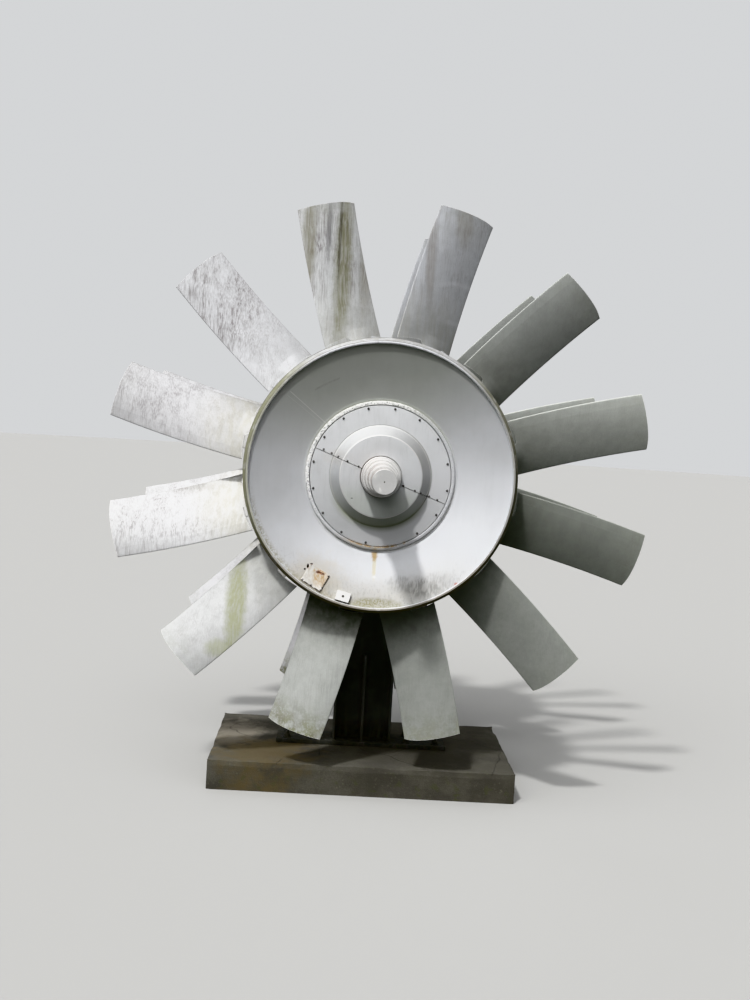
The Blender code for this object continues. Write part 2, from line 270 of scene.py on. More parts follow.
def setSurface(tree, shader, colour, roughness, metallic, height=None, bump=1.0):
    for name, value in (("Base Color", asColour(colour)), ("Roughness", roughness), ("Metallic", metallic)):
        if isinstance(value, bpy.types.NodeSocket):
            tree.links.new(value, shader.inputs[name])
        else:
            shader.inputs[name].default_value = value
    if height is not None:
        node = put(tree, "ShaderNodeBump", {"Height": height, "Strength": bump, "Distance": 1.0})
        tree.links.new(node.outputs[0], shader.inputs["Normal"])


# Mesh helpers
def hubPoint(radius, clock, forward, outward=-1):
    y = outward * (layout["rowSpacing"] / 2 + forward)
    return Vector((radius * math.sin(clock), y, layout["axisHeight"] + radius * math.cos(clock)))


def hubNormal(clock, tilt, outward=-1):
    # tilt turns the outward-facing normal away from the axis
    return Vector((math.sin(tilt) * math.sin(clock), outward * math.cos(tilt),
                   math.sin(tilt) * math.cos(clock)))


def softCorners(points, size, steps=3):
    # every corner of a closed outline becomes a short curve; a point may carry its own size
    curve = []
    for i, point in enumerate(points):
        here, before, after = (Vector(p[:2]) for p in (point, points[i - 1], points[(i + 1) % len(points)]))
        own = point[2] if len(point) > 2 else size
        lead = min(own, 0.45 * (before - here).length)
        trail = min(own, 0.45 * (after - here).length)
        first = here + (before - here).normalized() * lead
        last = here + (after - here).normalized() * trail
        for step in range(steps + 1):
            t = step / steps
            curve.append(first * (1 - t) ** 2 + here * (2 * t * (1 - t)) + last * t ** 2)
    return curve


def turnedShape(profile, sides, outward=-1, start=0.0, sweep=math.tau):
    shape = bmesh.new()
    whole = abs(sweep - math.tau) < 1e-6
    rings = []
    for step in range(sides if whole else sides + 1):
        clock = start + sweep * step / sides
        rings.append([shape.verts.new(hubPoint(p[0], clock, p[1], outward)) for p in profile])
    count = len(profile)
    for i in range(sides):
        near, far = rings[i], rings[(i + 1) % len(rings)]
        for j in range(count):
            k = (j + 1) % count
            shape.faces.new((near[j], near[k], far[k], far[j]))
    if not whole:
        shape.faces.new(rings[0])
        shape.faces.new(list(reversed(rings[-1])))
    return shape, rings


def toMesh(shape, title, sharp=None):
    bmesh.ops.remove_doubles(shape, verts=shape.verts, dist=0.00002)
    bmesh.ops.recalc_face_normals(shape, faces=shape.faces)
    mesh = bpy.data.meshes.new(title)
    shape.to_mesh(mesh)
    shape.free()
    mesh.shade_smooth()
    mesh.set_sharp_from_angle(angle=math.radians(sharp or layout["sharpAngle"]))
    return mesh


def addPiece(title, mesh, body, material, standsFor=()):
    piece = bpy.data.objects.new(title, mesh)
    bpy.context.scene.collection.objects.link(piece)
    mesh.materials.append(material)
    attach(piece, body)
    if standsFor:
        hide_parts(*standsFor)
    return piece


def facing(place, normal, turn=0.0):
    upright = normal.to_track_quat("Z", "Y").to_matrix().to_4x4()
    return Matrix.Translation(place) @ upright @ Matrix.Rotation(turn, 4, "Z")


def addDisc(shape, matrix, low, high, bottom, top, sides):
    middle = matrix @ Matrix.Translation((0, 0, (low + high) / 2))
    bmesh.ops.create_cone(shape, cap_ends=True, segments=sides, radius1=bottom, radius2=top,
                          depth=high - low, matrix=middle)


def addBolt(shape, matrix, size, washer=True):
    # size is the radius of the washer; the head and its chamfer follow from it
    base = 0.22 * size if washer else 0.0
    if washer:
        addDisc(shape, matrix, -0.001, base, size, 0.94 * size, 20)
    addDisc(shape, matrix, base - 0.0002, base + 0.62 * size, 0.72 * size, 0.72 * size, 6)
    addDisc(shape, matrix, base + 0.6 * size, base + 0.74 * size, 0.62 * size, 0.5 * size, 16)


def addRivet(shape, matrix, size):
    addDisc(shape, matrix, -0.001, 0.35 * size, size, 0.86 * size, 12)
    addDisc(shape, matrix, 0.35 * size, 0.6 * size, 0.86 * size, 0.4 * size, 12)


def addBlock(shape, size, matrix, bevel=0.0, segments=2):
    made = bmesh.ops.create_cube(shape, size=1.0, matrix=matrix @ Matrix.Diagonal((*size, 1.0)))
    if bevel:
        edges = list({edge for vert in made["verts"] for edge in vert.link_edges})
        bmesh.ops.bevel(shape, geom=edges, offset=bevel, segments=segments, profile=0.6, affect="EDGES")


# Blades: a cambered, twisted sheet with its filleted root mound
blade = {
    "count": 12,
    "firstClock": -14.7,
    "tipRadius": 1.300,
    "rootRadius": 0.655,
    "rootRise": 0.013,
    "halfWidth": 0.134,
    "tipStagger": 14.6,
    "rootStagger": 24.0,
    "camber": 0.010,
    "bow": 0.009,
    "cornerCut": 0.010,
    "edgeHalf": 0.0028,
    "middleHalf": 0.0090,
    "roundAt": 0.972,
    "hubSurface": 0.6504,
    "moundOffset": 0.035,
    "moundWidth": 0.052,
    "moundSwell": 0.013,
    "moundTop": 0.705,
    "seamAt": -0.66,
    "seamHeight": 0.0002,
}


def stops(low, high, count):
    return [low + (high - low) * i / (count - 1) for i in range(count)]


def sectionHalf(across):
    # a thin lens with round edges
    half = blade["edgeHalf"] + (blade["middleHalf"] - blade["edgeHalf"]) * (1 - across ** 2)
    past = max(0.0, (abs(across) - blade["roundAt"]) / (1 - blade["roundAt"]))
    return half * math.sqrt(max(0.03, 1 - past ** 2))


def bladePoint(across, share, side):
    stagger = math.radians(blade["rootStagger"] + (blade["tipStagger"] - blade["rootStagger"]) * share)
    x = across * blade["halfWidth"]
    half = sectionHalf(across)
    half += blade["seamHeight"] * math.exp(-((across - blade["seamAt"]) / 0.022) ** 2)
    y = x * math.tan(stagger) - blade["camber"] * (1 - across ** 2)
    radius = blade["rootRadius"] + (blade["tipRadius"] - blade["rootRadius"]) * share
    radius += blade["rootRise"] * (1 - across ** 2) * (1 - share)
    radius -= blade["cornerCut"] * max(0.0, across) ** 4 * share
    # the round mound on which the blade is set in the hub
    fromMound = abs(x - blade["moundOffset"])
    lift = min(1.0, max(0.0, (radius - blade["hubSurface"]) / (blade["moundTop"] - blade["hubSurface"])))
    swell = blade["moundSwell"] * math.exp(-(fromMound / blade["moundWidth"]) ** 3)
    half += swell * (1 - lift) ** 1.5 * (1 + lift)
    y += side * half
    near = min(1.0, max(0.0, (0.060 - fromMound) / 0.018))
    fade = max(0.0, 1 - share / 0.05) ** 2
    radius -= (radius - blade["hubSurface"]) * near * near * (3 - 2 * near) * fade
    bow = blade["bow"] * 4 * share * (1 - share)
    return Vector((x - bow, y, math.sqrt(radius ** 2 - x ** 2)))


def bladeGrid():
    # denser over the mound, at the round edges and beside the seam
    roundEdges = [side * at for side in (-1, 1) for at in (0.972, 0.981, 0.990, 0.997)]
    besideSeam = [-0.70, -0.68, -0.66, -0.64, -0.62]
    columns = sorted(set(stops(-1, 1, 27) + stops(-0.2, 0.74, 25) + roundEdges + besideSeam))
    rows = sorted(set(stops(0, 1, 24) + stops(0, 0.15, 15) + [0.006, 0.99]))
    return columns, rows


def bladeMesh(title, clock, outward, pattern):
    columns, rows, points = pattern
    centre = Matrix.Translation((0, outward * layout["rowSpacing"] / 2, layout["axisHeight"]))
    place = centre @ Matrix.Rotation(clock, 4, "Y")
    shape = bmesh.new()
    layer = shape.loops.layers.uv.new("bladeMap")
    sides = []
    for side in (0, 1):
        sides.append([[shape.verts.new(place @ point) for point in row] for row in points[side]])
    spot = {}
    for grid in sides:
        for i, row in enumerate(grid):
            for j, vert in enumerate(row):
                spot[vert] = (columns[j] * 0.5 + 0.5, rows[i])
    last, end = len(rows) - 1, len(columns) - 1
    for grid in sides:
        for i in range(last):
            for j in range(end):
                shape.faces.new((grid[i][j], grid[i][j + 1], grid[i + 1][j + 1], grid[i + 1][j]))
    front, back = sides
    for i in (0, last):
        for j in range(end):
            shape.faces.new((front[i][j], front[i][j + 1], back[i][j + 1], back[i][j]))
    for j in (0, end):
        for i in range(last):
            shape.faces.new((front[i][j], front[i + 1][j], back[i + 1][j], back[i][j]))
    for face in shape.faces:
        for loop in face.loops:
            loop[layer].uv = spot[loop.vert]
    return toMesh(shape, title, 38)


# One value for each blade, 01 just left of the top and then clockwise: how bright its paint is, a tone that
# also holds painted light and shade, and how much grime, tip moss, green and bluish film with painted
# reflection, brown film and painted root shade it carries
bladeWear = {
    "toneAndShade": (0.80, 0.68, 0.51, 0.70, 0.46, 0.55, 0.57, 0.65, 0.67, 0.79, 0.62, 0.77),
    "grime": (0.92, 0.42, 0.16, 0.12, 0.12, 0.12, 0.16, 0.22, 0.28, 0.62, 0.48, 0.94),
    "tipMoss": (0.22, 0.14, 0.12, 0.10, 0.10, 0.10, 0.50, 0.85, 0.12, 0.05, 0.05, 0.05),
    "green": (0.12, 0.00, 0.45, 0.50, 0.70, 0.55, 0.50, 0.40, 0.12, 0.05, 0.00, 0.00),
    "cool": (0.10, 0.38, 0.10, 0.00, 0.00, 0.00, 0.00, 0.00, 0.00, 0.00, 0.00, 0.10),
    "brown": (0.20, 0.30, 0.10, 0.05, 0.05, 0.05, 0.05, 0.10, 0.15, 0.45, 0.40, 0.00),
    "rootShade": (0.10, 0.20, 0.15, 0.15, 0.20, 0.05, 0.38, 0.90, 0.35, 0.05, 0.10, 0.05),
}

bladePaint = {
    "tint": (0.995, 1.0, 1.015),
    "dull": 0.86,
    "grime": (0.185, 0.163, 0.164),
    "moss": (0.165, 0.172, 0.075),
    "olive": (0.15, 0.145, 0.085),
    "greenFilmAndReflection": (0.94, 1.0, 0.86),
    "coolFilmAndReflection": (0.92, 0.98, 1.04),
    "brownFilm": (0.45, 0.43, 0.34),
    "rootShade": (0.12, 0.125, 0.10),
    "bright": (0.95, 0.95, 0.94),
    "creaseHighlight": (0.86, 0.87, 0.90),
    "streaks": 0.74,
    "haze": 0.20,
    "specks": 0.55,
    "edgeHighlight": 0.80,
    "roughness": 0.70,
    "metallic": 0.80,
}


def makeBladePaint(title, wear, marks=(), lines=()):
    material, tree, shader, place = startFinish(title)
    uv = axes(tree, put(tree, "ShaderNodeUVMap", uv_map="bladeMap").outputs[0])
    share = uv["Y"]
    # green and bluish films: partly real film, partly painted reflection of the ground and the sky
    green, cool = bladePaint["greenFilmAndReflection"], bladePaint["coolFilmAndReflection"]
    film = [(1 + wear["green"] * (g - 1)) * (1 + wear["cool"] * (c - 1)) for g, c in zip(green, cool)]
    # the tone holds painted light and shade: each blade's paint is lighter or darker by how lit it stands
    fresh = tuple(wear["toneAndShade"] * t * f for t, f in zip(bladePaint["tint"], film))
    dull = tuple(c * bladePaint["dull"] for c in fresh)
    cloud = effect(tree, "patches", place=place, size=0.30, start=0.34, full=0.66)
    small = effect(tree, "patches", place=place, size=0.045, start=0.36, full=0.66)
    colour = mix(tree, times(tree, plus(tree, cloud, small), 0.5), fresh, dull)
    grain = effect(tree, "patches", place=place, size=0.0045, start=0.36, full=0.64)
    colour = coat(tree, colour, bladePaint["grime"], grain, 0.08)
    # upright streaks: fine ones gathered in broad ones, thicker towards the tip
    fine = effect(tree, "dripStreaks", place=place, width=0.0044, length=0.200, start=0.42, full=0.62)
    broad = effect(tree, "dripStreaks", place=place, width=0.026, length=0.30, start=0.38, full=0.64)
    clear = effect(tree, "patches", place=place, size=0.17, start=0.36, full=0.60)
    high = remap(tree, share, 0.02, 0.62, 0.34, 1.0)
    cover = times(tree, scaled(tree, broad, 0.42), scaled(tree, clear, 0.45))
    streak = times(tree, fine, cover, high, wear["grime"])
    haze = times(tree, cover, high, bladePaint["haze"] * wear["grime"])
    speck = effect(tree, "patches", place=place, size=0.0055, start=0.60, full=0.68)
    dots = times(tree, speck, cover, bladePaint["specks"] * wear["grime"])
    runs = times(tree, streak, bladePaint["streaks"])
    dirt = calc(tree, "MAXIMUM", plus(tree, runs, haze), dots, clamped=True)
    colour = coat(tree, colour, bladePaint["grime"], dirt)
    # the lower part of the blade by the hub goes brown
    hubEnd = times(tree, remap(tree, share, 0.50, 0.05), scaled(tree, broad, 0.45))
    colour = coat(tree, colour, bladePaint["brownFilm"], hubEnd, wear["brown"])
    # painted shade: the hub's shadow over the root of the blade, darkened into the paint
    rootShadow = times(tree, remap(tree, share, 0.36, 0.02), scaled(tree, small, 0.8))
    colour = coat(tree, colour, bladePaint["rootShade"], rootShadow, wear["rootShade"])
    tip = remap(tree, share, 0.72, 1.00)
    ragged = times(tree, effect(tree, "patches", place=place, size=0.05, start=0.32, full=0.60),
                   effect(tree, "patches", place=place, size=0.010, start=0.26, full=0.54))
    moss = times(tree, tip, ragged, wear["tipMoss"])
    for centre, reach, amount, tint in marks:
        stain = effect(tree, "spot", place=place, centre=centre, reach=reach, ragged=0.22, grain=0.04)
        torn = effect(tree, "dripStreaks", place=place, width=0.009, length=0.16, start=0.30, full=0.66)
        layer = times(tree, stain, scaled(tree, torn, 0.60), amount)
        colour = coat(tree, colour, tint, layer)
        dirt = larger(tree, dirt, layer)
    for start, end in lines:
        # painted highlight along each crease
        line = effect(tree, "lineMark", **{"place": place, "from": start, "toward": end, "width": 0.018})
        colour = coat(tree, colour, bladePaint["creaseHighlight"], line, 0.16)
    tint = mix(tree, effect(tree, "patches", place=place, size=0.06), bladePaint["moss"], bladePaint["olive"])
    colour = coat(tree, colour, tint, moss)
    # painted highlight: the rounded edges are lightened where they catch the light; the same mask makes them
    # rougher
    edge = effect(tree, "wornEdges", radius=0.004, start=0.03, full=0.20)
    colour = coat(tree, colour, bladePaint["bright"], edge, bladePaint["edgeHighlight"])
    foul = larger(tree, dirt, moss, times(tree, edge, 0.6))
    metallic = remap(tree, foul, 0.0, 0.8, bladePaint["metallic"], 0.12)
    roughness = calc(tree, "ADD", bladePaint["roughness"], times(tree, foul, 0.22), clamped=True)
    skin = effect(tree, "sheetSkin", "Height", place=place, wave=0.24, waveDepth=0.0028, grain=0.006,
                  grainDepth=0.00010)
    setSurface(tree, shader, colour, roughness, metallic, skin)
    return material


# Streaks of moss, rust and soot on single front blades, each with its centre, reach, amount and colour, and
# the creases of blade 02, drawn as faint painted highlights
bladeMarks = {
    1: (
        ((-0.232, -0.60, 2.56), (0.056, 0.3, 0.50), 0.85, (0.17, 0.165, 0.085)),
        ((-0.395, -0.60, 2.66), (0.046, 0.3, 0.34), 0.70, (0.19, 0.175, 0.11)),
        ((-0.305, -0.60, 2.72), (0.017, 0.3, 0.20), 0.75, (0.14, 0.135, 0.14)),
        ((-0.252, -0.60, 2.70), (0.010, 0.3, 0.32), 0.90, (0.09, 0.085, 0.06)),
        ((-0.120, -0.60, 2.62), (0.050, 0.3, 0.40), 0.50, (0.19, 0.170, 0.12)),
    ),
    2: (
        ((0.180, -0.60, 2.62), (0.034, 0.3, 0.30), 0.50, (0.18, 0.150, 0.12)),
        ((0.330, -0.60, 2.79), (0.055, 0.3, 0.14), 0.45, (0.19, 0.165, 0.12)),
    ),
    9: (
        ((-0.650, -0.60, 0.93), (0.066, 0.3, 0.36), 0.72, (0.28, 0.295, 0.13)),
        ((-0.720, -0.60, 0.72), (0.090, 0.3, 0.06), 0.50, (0.31, 0.33, 0.14)),
    ),
    10: (
        ((-0.960, -0.60, 1.50), (0.200, 0.3, 0.075), 0.55, (0.30, 0.285, 0.265)),
    ),
}
creases = (
    ((0.232, 0, 2.500), (0.310, 0, 2.510)),
    ((0.300, 0, 2.508), (0.372, 0, 2.496)),
    ((0.285, 0, 2.330), (0.395, 0, 2.304)),
)


def makeBlades():
    columns, rows = bladeGrid()
    points = [[[bladePoint(a, s, side) for a in columns] for s in rows] for side in (-1, 1)]
    for outward, row in ((-1, "front"), (1, "rear")):
        for number in range(1, blade["count"] + 1):
            clock = math.radians(blade["firstClock"]) + (number - 1) * math.tau / blade["count"]
            wear = {key: values[number - 1] for key, values in bladeWear.items()}
            if row == "rear" and number in (7, 8, 9):
                wear.update(brown=0.75, green=0.0)
            marks = bladeMarks.get(number, ()) if row == "front" else ()
            lines = creases if row == "front" and number == 2 else ()
            paint = makeBladePaint(f"{row}BladePaint{number:02d}", wear, marks, lines)
            mesh = bladeMesh(f"{row}Blade{number:02d}", clock, outward, (columns, rows, points))
            addPiece(f"{row}Blade{number:02d}", mesh, "rotor", paint,
                     (f"{row}_blade_{number:02d}",))


makeBlades()
print("blades made")


# Hub: the drum with its rolled rim, the dish, the neck and the bolted cover
hub = {
    "sides": 240,
    "back": -0.175,
    "wall": 0.012,
    "bore": 0.1256,
    "radius": 0.650,
    "inner": 0.6156,
    "dishRadius": 0.6153,
    "dishForward": 0.158,
    "floorRadius": 0.353,
    "floorForward": 0.088,
    "dishCurve": 1.12,
    "plate": 0.008,
    "neckInner": 0.3338,
    "neckOuter": 0.3488,
    "neckForward": 0.1025,
}


def dishHeight(radius):
    share = max(0.0, (radius - hub["floorRadius"]) / (hub["dishRadius"] - hub["floorRadius"]))
    return hub["floorForward"] + (hub["dishForward"] - hub["floorForward"]) * share ** hub["dishCurve"]


def drumProfile():
    back, wall, bore, inner = hub["back"], hub["wall"], hub["bore"], hub["inner"]
    # radius, forward and the size of the corner: the bore and the inside, then the lip, bevel and outside
    points = [
        (bore, back + wall, 0.002), (inner, back + wall, 0.006), (inner, 0.1735, 0.0012),
        (0.6185, 0.1760, 0.0015), (0.6262, 0.1760, 0.0015), (0.6275, 0.1725, 0.0010),
        (0.6271, 0.1700, 0.0008), (0.6345, 0.1560, 0.0020), (0.6398, 0.1442, 0.0012),
        (0.6394, 0.1418, 0.0008), (0.6422, 0.1390, 0.0012), (0.6428, 0.1320, 0.0020),
        (hub["radius"], 0.0500, 0.0060), (hub["radius"], back, 0.010), (bore, back, 0.002),
    ]
    return softCorners(points, 0.002, 2)


def dishProfile():
    inner, outer = hub["floorRadius"], hub["dishRadius"]
    face = [inner + (outer - inner) * i / 26 for i in range(27)]
    foot, floor, plate = inner + 0.0025, hub["floorForward"], hub["plate"]
    neckPoints = [
        (hub["neckInner"], floor - plate), (hub["neckInner"], hub["neckForward"], 0.0020),
        (hub["neckOuter"], hub["neckForward"], 0.0020), (inner, floor, 0.0012), (foot, dishHeight(foot)),
        (face[1], dishHeight(face[1])), (face[1], dishHeight(face[1]) - plate),
    ]
    bend = softCorners(neckPoints, 0.0006, 3)
    front = [Vector((radius, dishHeight(radius))) for radius in face[2:]]
    back = [Vector((radius, dishHeight(radius) - plate)) for radius in reversed(face[2:])]
    return bend[:-4] + front + back + bend[-4:]


hubPaint = {
    "lipMoss": (0.14, 0.14, 0.08),
    "rimSeam": (0.13, 0.125, 0.10),
    "rimCorner": (0.11, 0.11, 0.07),
    "fresh": (0.86, 0.875, 0.905),
    "dull": (0.73, 0.745, 0.76),
    "topShade": (0.725, 0.74, 0.67),
    "lowFilm": (0.69, 0.67, 0.62),
    "rimDirt": (0.34, 0.31, 0.20),
    "rimMoss": (0.27, 0.27, 0.175),
    "rimShade": (0.17, 0.165, 0.13),
    "rimBrown": (0.21, 0.18, 0.12),
    "grime": (0.16, 0.155, 0.14),
    "wash": (0.40, 0.40, 0.38),
    "mottle": (0.50, 0.44, 0.36),
    "tan": (0.66, 0.59, 0.47),
    "dishMoss": (0.28, 0.265, 0.15),
    "tear": (0.02, 0.015, 0.01),
    "flankLight": (0.97, 0.97, 0.96),
    "flankShade": (0.20, 0.205, 0.17),
    "sealantAndHighlight": (0.95, 0.95, 0.93),
    "darkRust": (0.20, 0.16, 0.08),
    "paleRust": (0.42, 0.26, 0.10),
    "bandTan": (0.42, 0.37, 0.26),
    "bandBrown": (0.34, 0.27, 0.16),
    "pits": (0.18, 0.18, 0.17),
    "cornerDirtAndShade": (0.15, 0.15, 0.11),
    "wornLip": (0.86, 0.85, 0.80),
    "bevel": (0.48, 0.47, 0.44),
    "roughness": 0.64,
    "metallic": 0.97,
}

# Marks on the front dish, where the photograph shows them, as (x, z) places and reaches
dishMarks = {
    "seams": (((-0.272, 0, 1.820), (-0.440, 0, 1.954), 0.0030, 0.90),
              ((-0.289, 0, 1.816), (-0.454, 0, 1.937), 0.0020, 0.40)),
    "scratch": ((-0.326, 0, 1.972), (-0.221, 0, 2.030), 0.0080, 0.30),
    "smudges": (((0.224, 1.070), (0.140, 0.065), 0.62), ((0.130, 1.085), (0.100, 0.055), 0.36),
                ((0.330, 1.090), (0.150, 0.075), 0.38)),
    "moss": (((0.00, 0.988), (0.18, 0.036), 0.92), ((-0.33, 1.05), (0.20, 0.10), 0.30)),
    "tan": ((-0.285, 1.095), (0.170, 0.140), 0.38),
    # a pale run, a rust run, a red spot and a pale spot: place, reach, amount, raggedness, grain and colour
    "spots": (((-0.005, 1.160), (0.013, 0.085), 0.48, 0.25, 0.012, (0.74, 0.65, 0.38)),
              ((-0.006, 1.215), (0.019, 0.046), 0.80, 0.30, 0.012, (0.50, 0.33, 0.12)),
              ((0.381, 1.099), (0.012, 0.018), 0.75, 0.30, 0.012, (0.45, 0.12, 0.07)),
              ((-0.003, 1.110), (0.012, 0.010), 0.95, 0.10, 0.010, (0.95, 0.95, 0.95))),
    "tears": (((-0.315, 1.148), (0.007, 0.014)), ((-0.265, 1.122), (0.014, 0.010)),
              ((-0.243, 1.114), (0.012, 0.007)), ((-0.328, 1.133), (0.007, 0.006)),
              ((-0.299, 1.158), (0.009, 0.005)), ((-0.254, 1.119), (0.012, 0.005))),
}


def dishSpot(tree, place, middle, reach, ragged, grain):
    return effect(tree, "spot", place=place, centre=(middle[0], -0.70, middle[1]),
                  reach=(reach[0], 0.5, reach[1]), ragged=ragged, grain=grain)


def makeHubPaint(title, marked):
    material, tree, shader, place = startFinish(title, "GGX")
    radius, clock = (effect(tree, "hubClock", output, place=place) for output in ("Radius", "Clock"))
    height = axes(tree, place)["Z"]
    low = remap(tree, height, layout["axisHeight"] - 0.25, layout["axisHeight"] - 0.62)
    cloud = effect(tree, "patches", place=place, size=0.40, start=0.36, full=0.66)
    colour = mix(tree, times(tree, cloud, 0.55), hubPaint["fresh"], hubPaint["dull"])
    # painted shade: a greenish darkening over the upper half, deeper towards the rim, and dust settled at the
    # bottom
    fromTop = calc(tree, "ABSOLUTE", plus(tree, clock, 0.20))
    film = times(tree, remap(tree, fromTop, 1.40, 0.45), remap(tree, radius, 0.40, 0.60, 0.85, 1.0))
    colour = mix(tree, film, colour, hubPaint["topShade"], "MULTIPLY")
    fromBottom = calc(tree, "SUBTRACT", math.pi, calc(tree, "ABSOLUTE", clock))
    settled = times(tree, remap(tree, fromBottom, 1.05, 0.22), remap(tree, radius, 0.42, 0.58))
    colour = mix(tree, settled, colour, hubPaint["lowFilm"], "MULTIPLY")
    wash = effect(tree, "dripStreaks", place=place, width=0.030, length=0.35, start=0.46, full=0.75)
    colour = coat(tree, colour, hubPaint["wash"], wash, 0.05)
    mottle = effect(tree, "patches", place=place, size=0.022, start=0.42, full=0.60)
    colour = coat(tree, colour, hubPaint["mottle"], mottle, low, 0.10)
    speck = effect(tree, "patches", place=place, size=0.010, start=0.58, full=0.68)
    streak = effect(tree, "dripStreaks", place=place, width=0.010, length=0.07, start=0.50, full=0.72)
    outer = remap(tree, radius, 0.44, 0.62)
    lowDirt = times(tree, larger(tree, speck, streak), outer, low)
    dirt = times(tree, lowDirt, 0.40)
    # a ragged brown-green line of dirt against the rim, all along the lower left
    lowerLeft = remap(tree, calc(tree, "ABSOLUTE", plus(tree, clock, 2.45)), 0.85, 0.40)
    crumbs = effect(tree, "patches", place=place, size=0.009, start=0.34, full=0.62)
    line = times(tree, remap(tree, radius, 0.586, 0.612), lowerLeft, crumbs)
    colour = coat(tree, colour, hubPaint["rimDirt"], line, 0.70)
    moss = None
    if marked:
        centre, reach, amount = dishMarks["tan"]
        tan = times(tree, dishSpot(tree, place, centre, reach, 0.35, 0.05), amount)
        colour = coat(tree, colour, hubPaint["tan"], tan)
        for centre, reach, amount in dishMarks["smudges"]:
            area = dishSpot(tree, place, centre, reach, 0.30, 0.05)
            torn = effect(tree, "dripStreaks", place=place, width=0.009, length=0.075, start=0.36, full=0.64)
            layer = times(tree, area, scaled(tree, torn, 0.30))
            dirt = larger(tree, dirt, times(tree, layer, amount))
        for centre, reach, amount in dishMarks["moss"]:
            area = dishSpot(tree, place, centre, reach, 0.40, 0.03)
            torn = effect(tree, "patches", place=place, size=0.0075, start=0.34, full=0.66)
            layer = times(tree, area, scaled(tree, torn, 0.25), amount)
            moss = layer if moss is None else larger(tree, moss, layer)
        start, end, width, amount = dishMarks["scratch"]
        line = effect(tree, "lineMark", **{"place": place, "from": start, "toward": end, "width": width})
        broken = effect(tree, "patches", place=place, size=0.03, start=0.35, full=0.60)
        dirt = larger(tree, dirt, times(tree, line, broken, amount))
    colour = coat(tree, colour, hubPaint["grime"], dirt)
    if marked:
        colour = coat(tree, colour, hubPaint["dishMoss"], moss)
        for start, end, width, amount in dishMarks["seams"]:
            line = effect(tree, "lineMark", **{"place": place, "from": start, "toward": end, "width": width})
            colour = coat(tree, colour, (0.90, 0.90, 0.88), line, amount)
        for centre, reach, amount, ragged, grain, tint in dishMarks["spots"]:
            mark = dishSpot(tree, place, centre, reach, ragged, grain)
            colour = coat(tree, colour, tint, mark, amount)
        for centre, reach in dishMarks["tears"]:
            hole = dishSpot(tree, place, centre, reach, 0.45, 0.008)
            colour = coat(tree, colour, hubPaint["tear"], remap(tree, hole, 0.3, 0.6))
    # painted shade on the neck's upper flank and in the corner below it; painted light on the same band at
    # the bottom, which faces away from the light
    flank = times(tree, remap(tree, radius, 0.3484, 0.3494), remap(tree, radius, 0.366, 0.352))
    flankShadeMask = times(tree, flank, remap(tree, fromTop, 1.9, 0.9))
    colour = coat(tree, colour, hubPaint["flankLight"], flank, remap(tree, fromTop, 1.7, 2.2))
    colour = coat(tree, colour, hubPaint["flankShade"], flankShadeMask, 0.85)
    # pale sealant and painted highlight on the neck's top left, where the light falls; rust in the bottom of
    # the groove
    band = times(tree, remap(tree, radius, 0.3535, 0.3505), remap(tree, radius, 0.3340, 0.3365))
    upper = remap(tree, calc(tree, "ABSOLUTE", plus(tree, clock, 0.75)), 1.70, 0.80, 0.15, 1.0)
    mottled = effect(tree, "patches", place=place, size=0.012, start=0.36, full=0.58)
    sealantAndHighlight = times(tree, band, upper, scaled(tree, mottled, 0.25))
    colour = coat(tree, colour, hubPaint["sealantAndHighlight"], sealantAndHighlight)
    under = remap(tree, height, layout["axisHeight"] - 0.27, layout["axisHeight"] - 0.33)
    rusty = effect(tree, "patches", place=place, size=0.030, start=0.40, full=0.58)
    groove = remap(tree, radius, 0.3420, 0.3365)
    stain = times(tree, groove, under, scaled(tree, rusty, 0.25, 0.90))
    colour = coat(tree, colour, mix(tree, rusty, hubPaint["darkRust"], hubPaint["paleRust"]), stain)
    beside = remap(tree, axes(tree, place)["X"], 0.12, 0.0, 0.15, 1.0)
    whole = times(tree, band, under, beside, 0.40)
    colour = coat(tree, colour, mix(tree, mottled, hubPaint["bandTan"], hubPaint["bandBrown"]), whole)
    pits = effect(tree, "patches", place=place, size=0.0085, start=0.54, full=0.59)
    pits = times(tree, band, pits, upper, 0.62)
    colour = coat(tree, colour, hubPaint["pits"], pits)
    # dirt and painted shade in the dish's corners and recesses
    corner = effect(tree, "cornerDirtAndShade", distance=0.022, start=0.30, full=0.85)
    colour = coat(tree, colour, hubPaint["cornerDirtAndShade"], corner, 0.35)
    foul = larger(tree, dirt, stain, times(tree, corner, 0.5), flankShadeMask)
    foul = larger(tree, foul, times(tree, sealantAndHighlight, 0.6))
    if marked:
        foul = larger(tree, foul, moss)
    metallic = remap(tree, foul, 0.0, 0.8, hubPaint["metallic"], 0.10)
    roughness = calc(tree, "ADD", hubPaint["roughness"], times(tree, foul, 0.20), clamped=True)
    skin = effect(tree, "sheetSkin", "Height", place=place, wave=0.30, waveDepth=0.003, grain=0.005,
                  grainDepth=0.00008)
    setSurface(tree, shader, colour, roughness, metallic, skin)
    return material


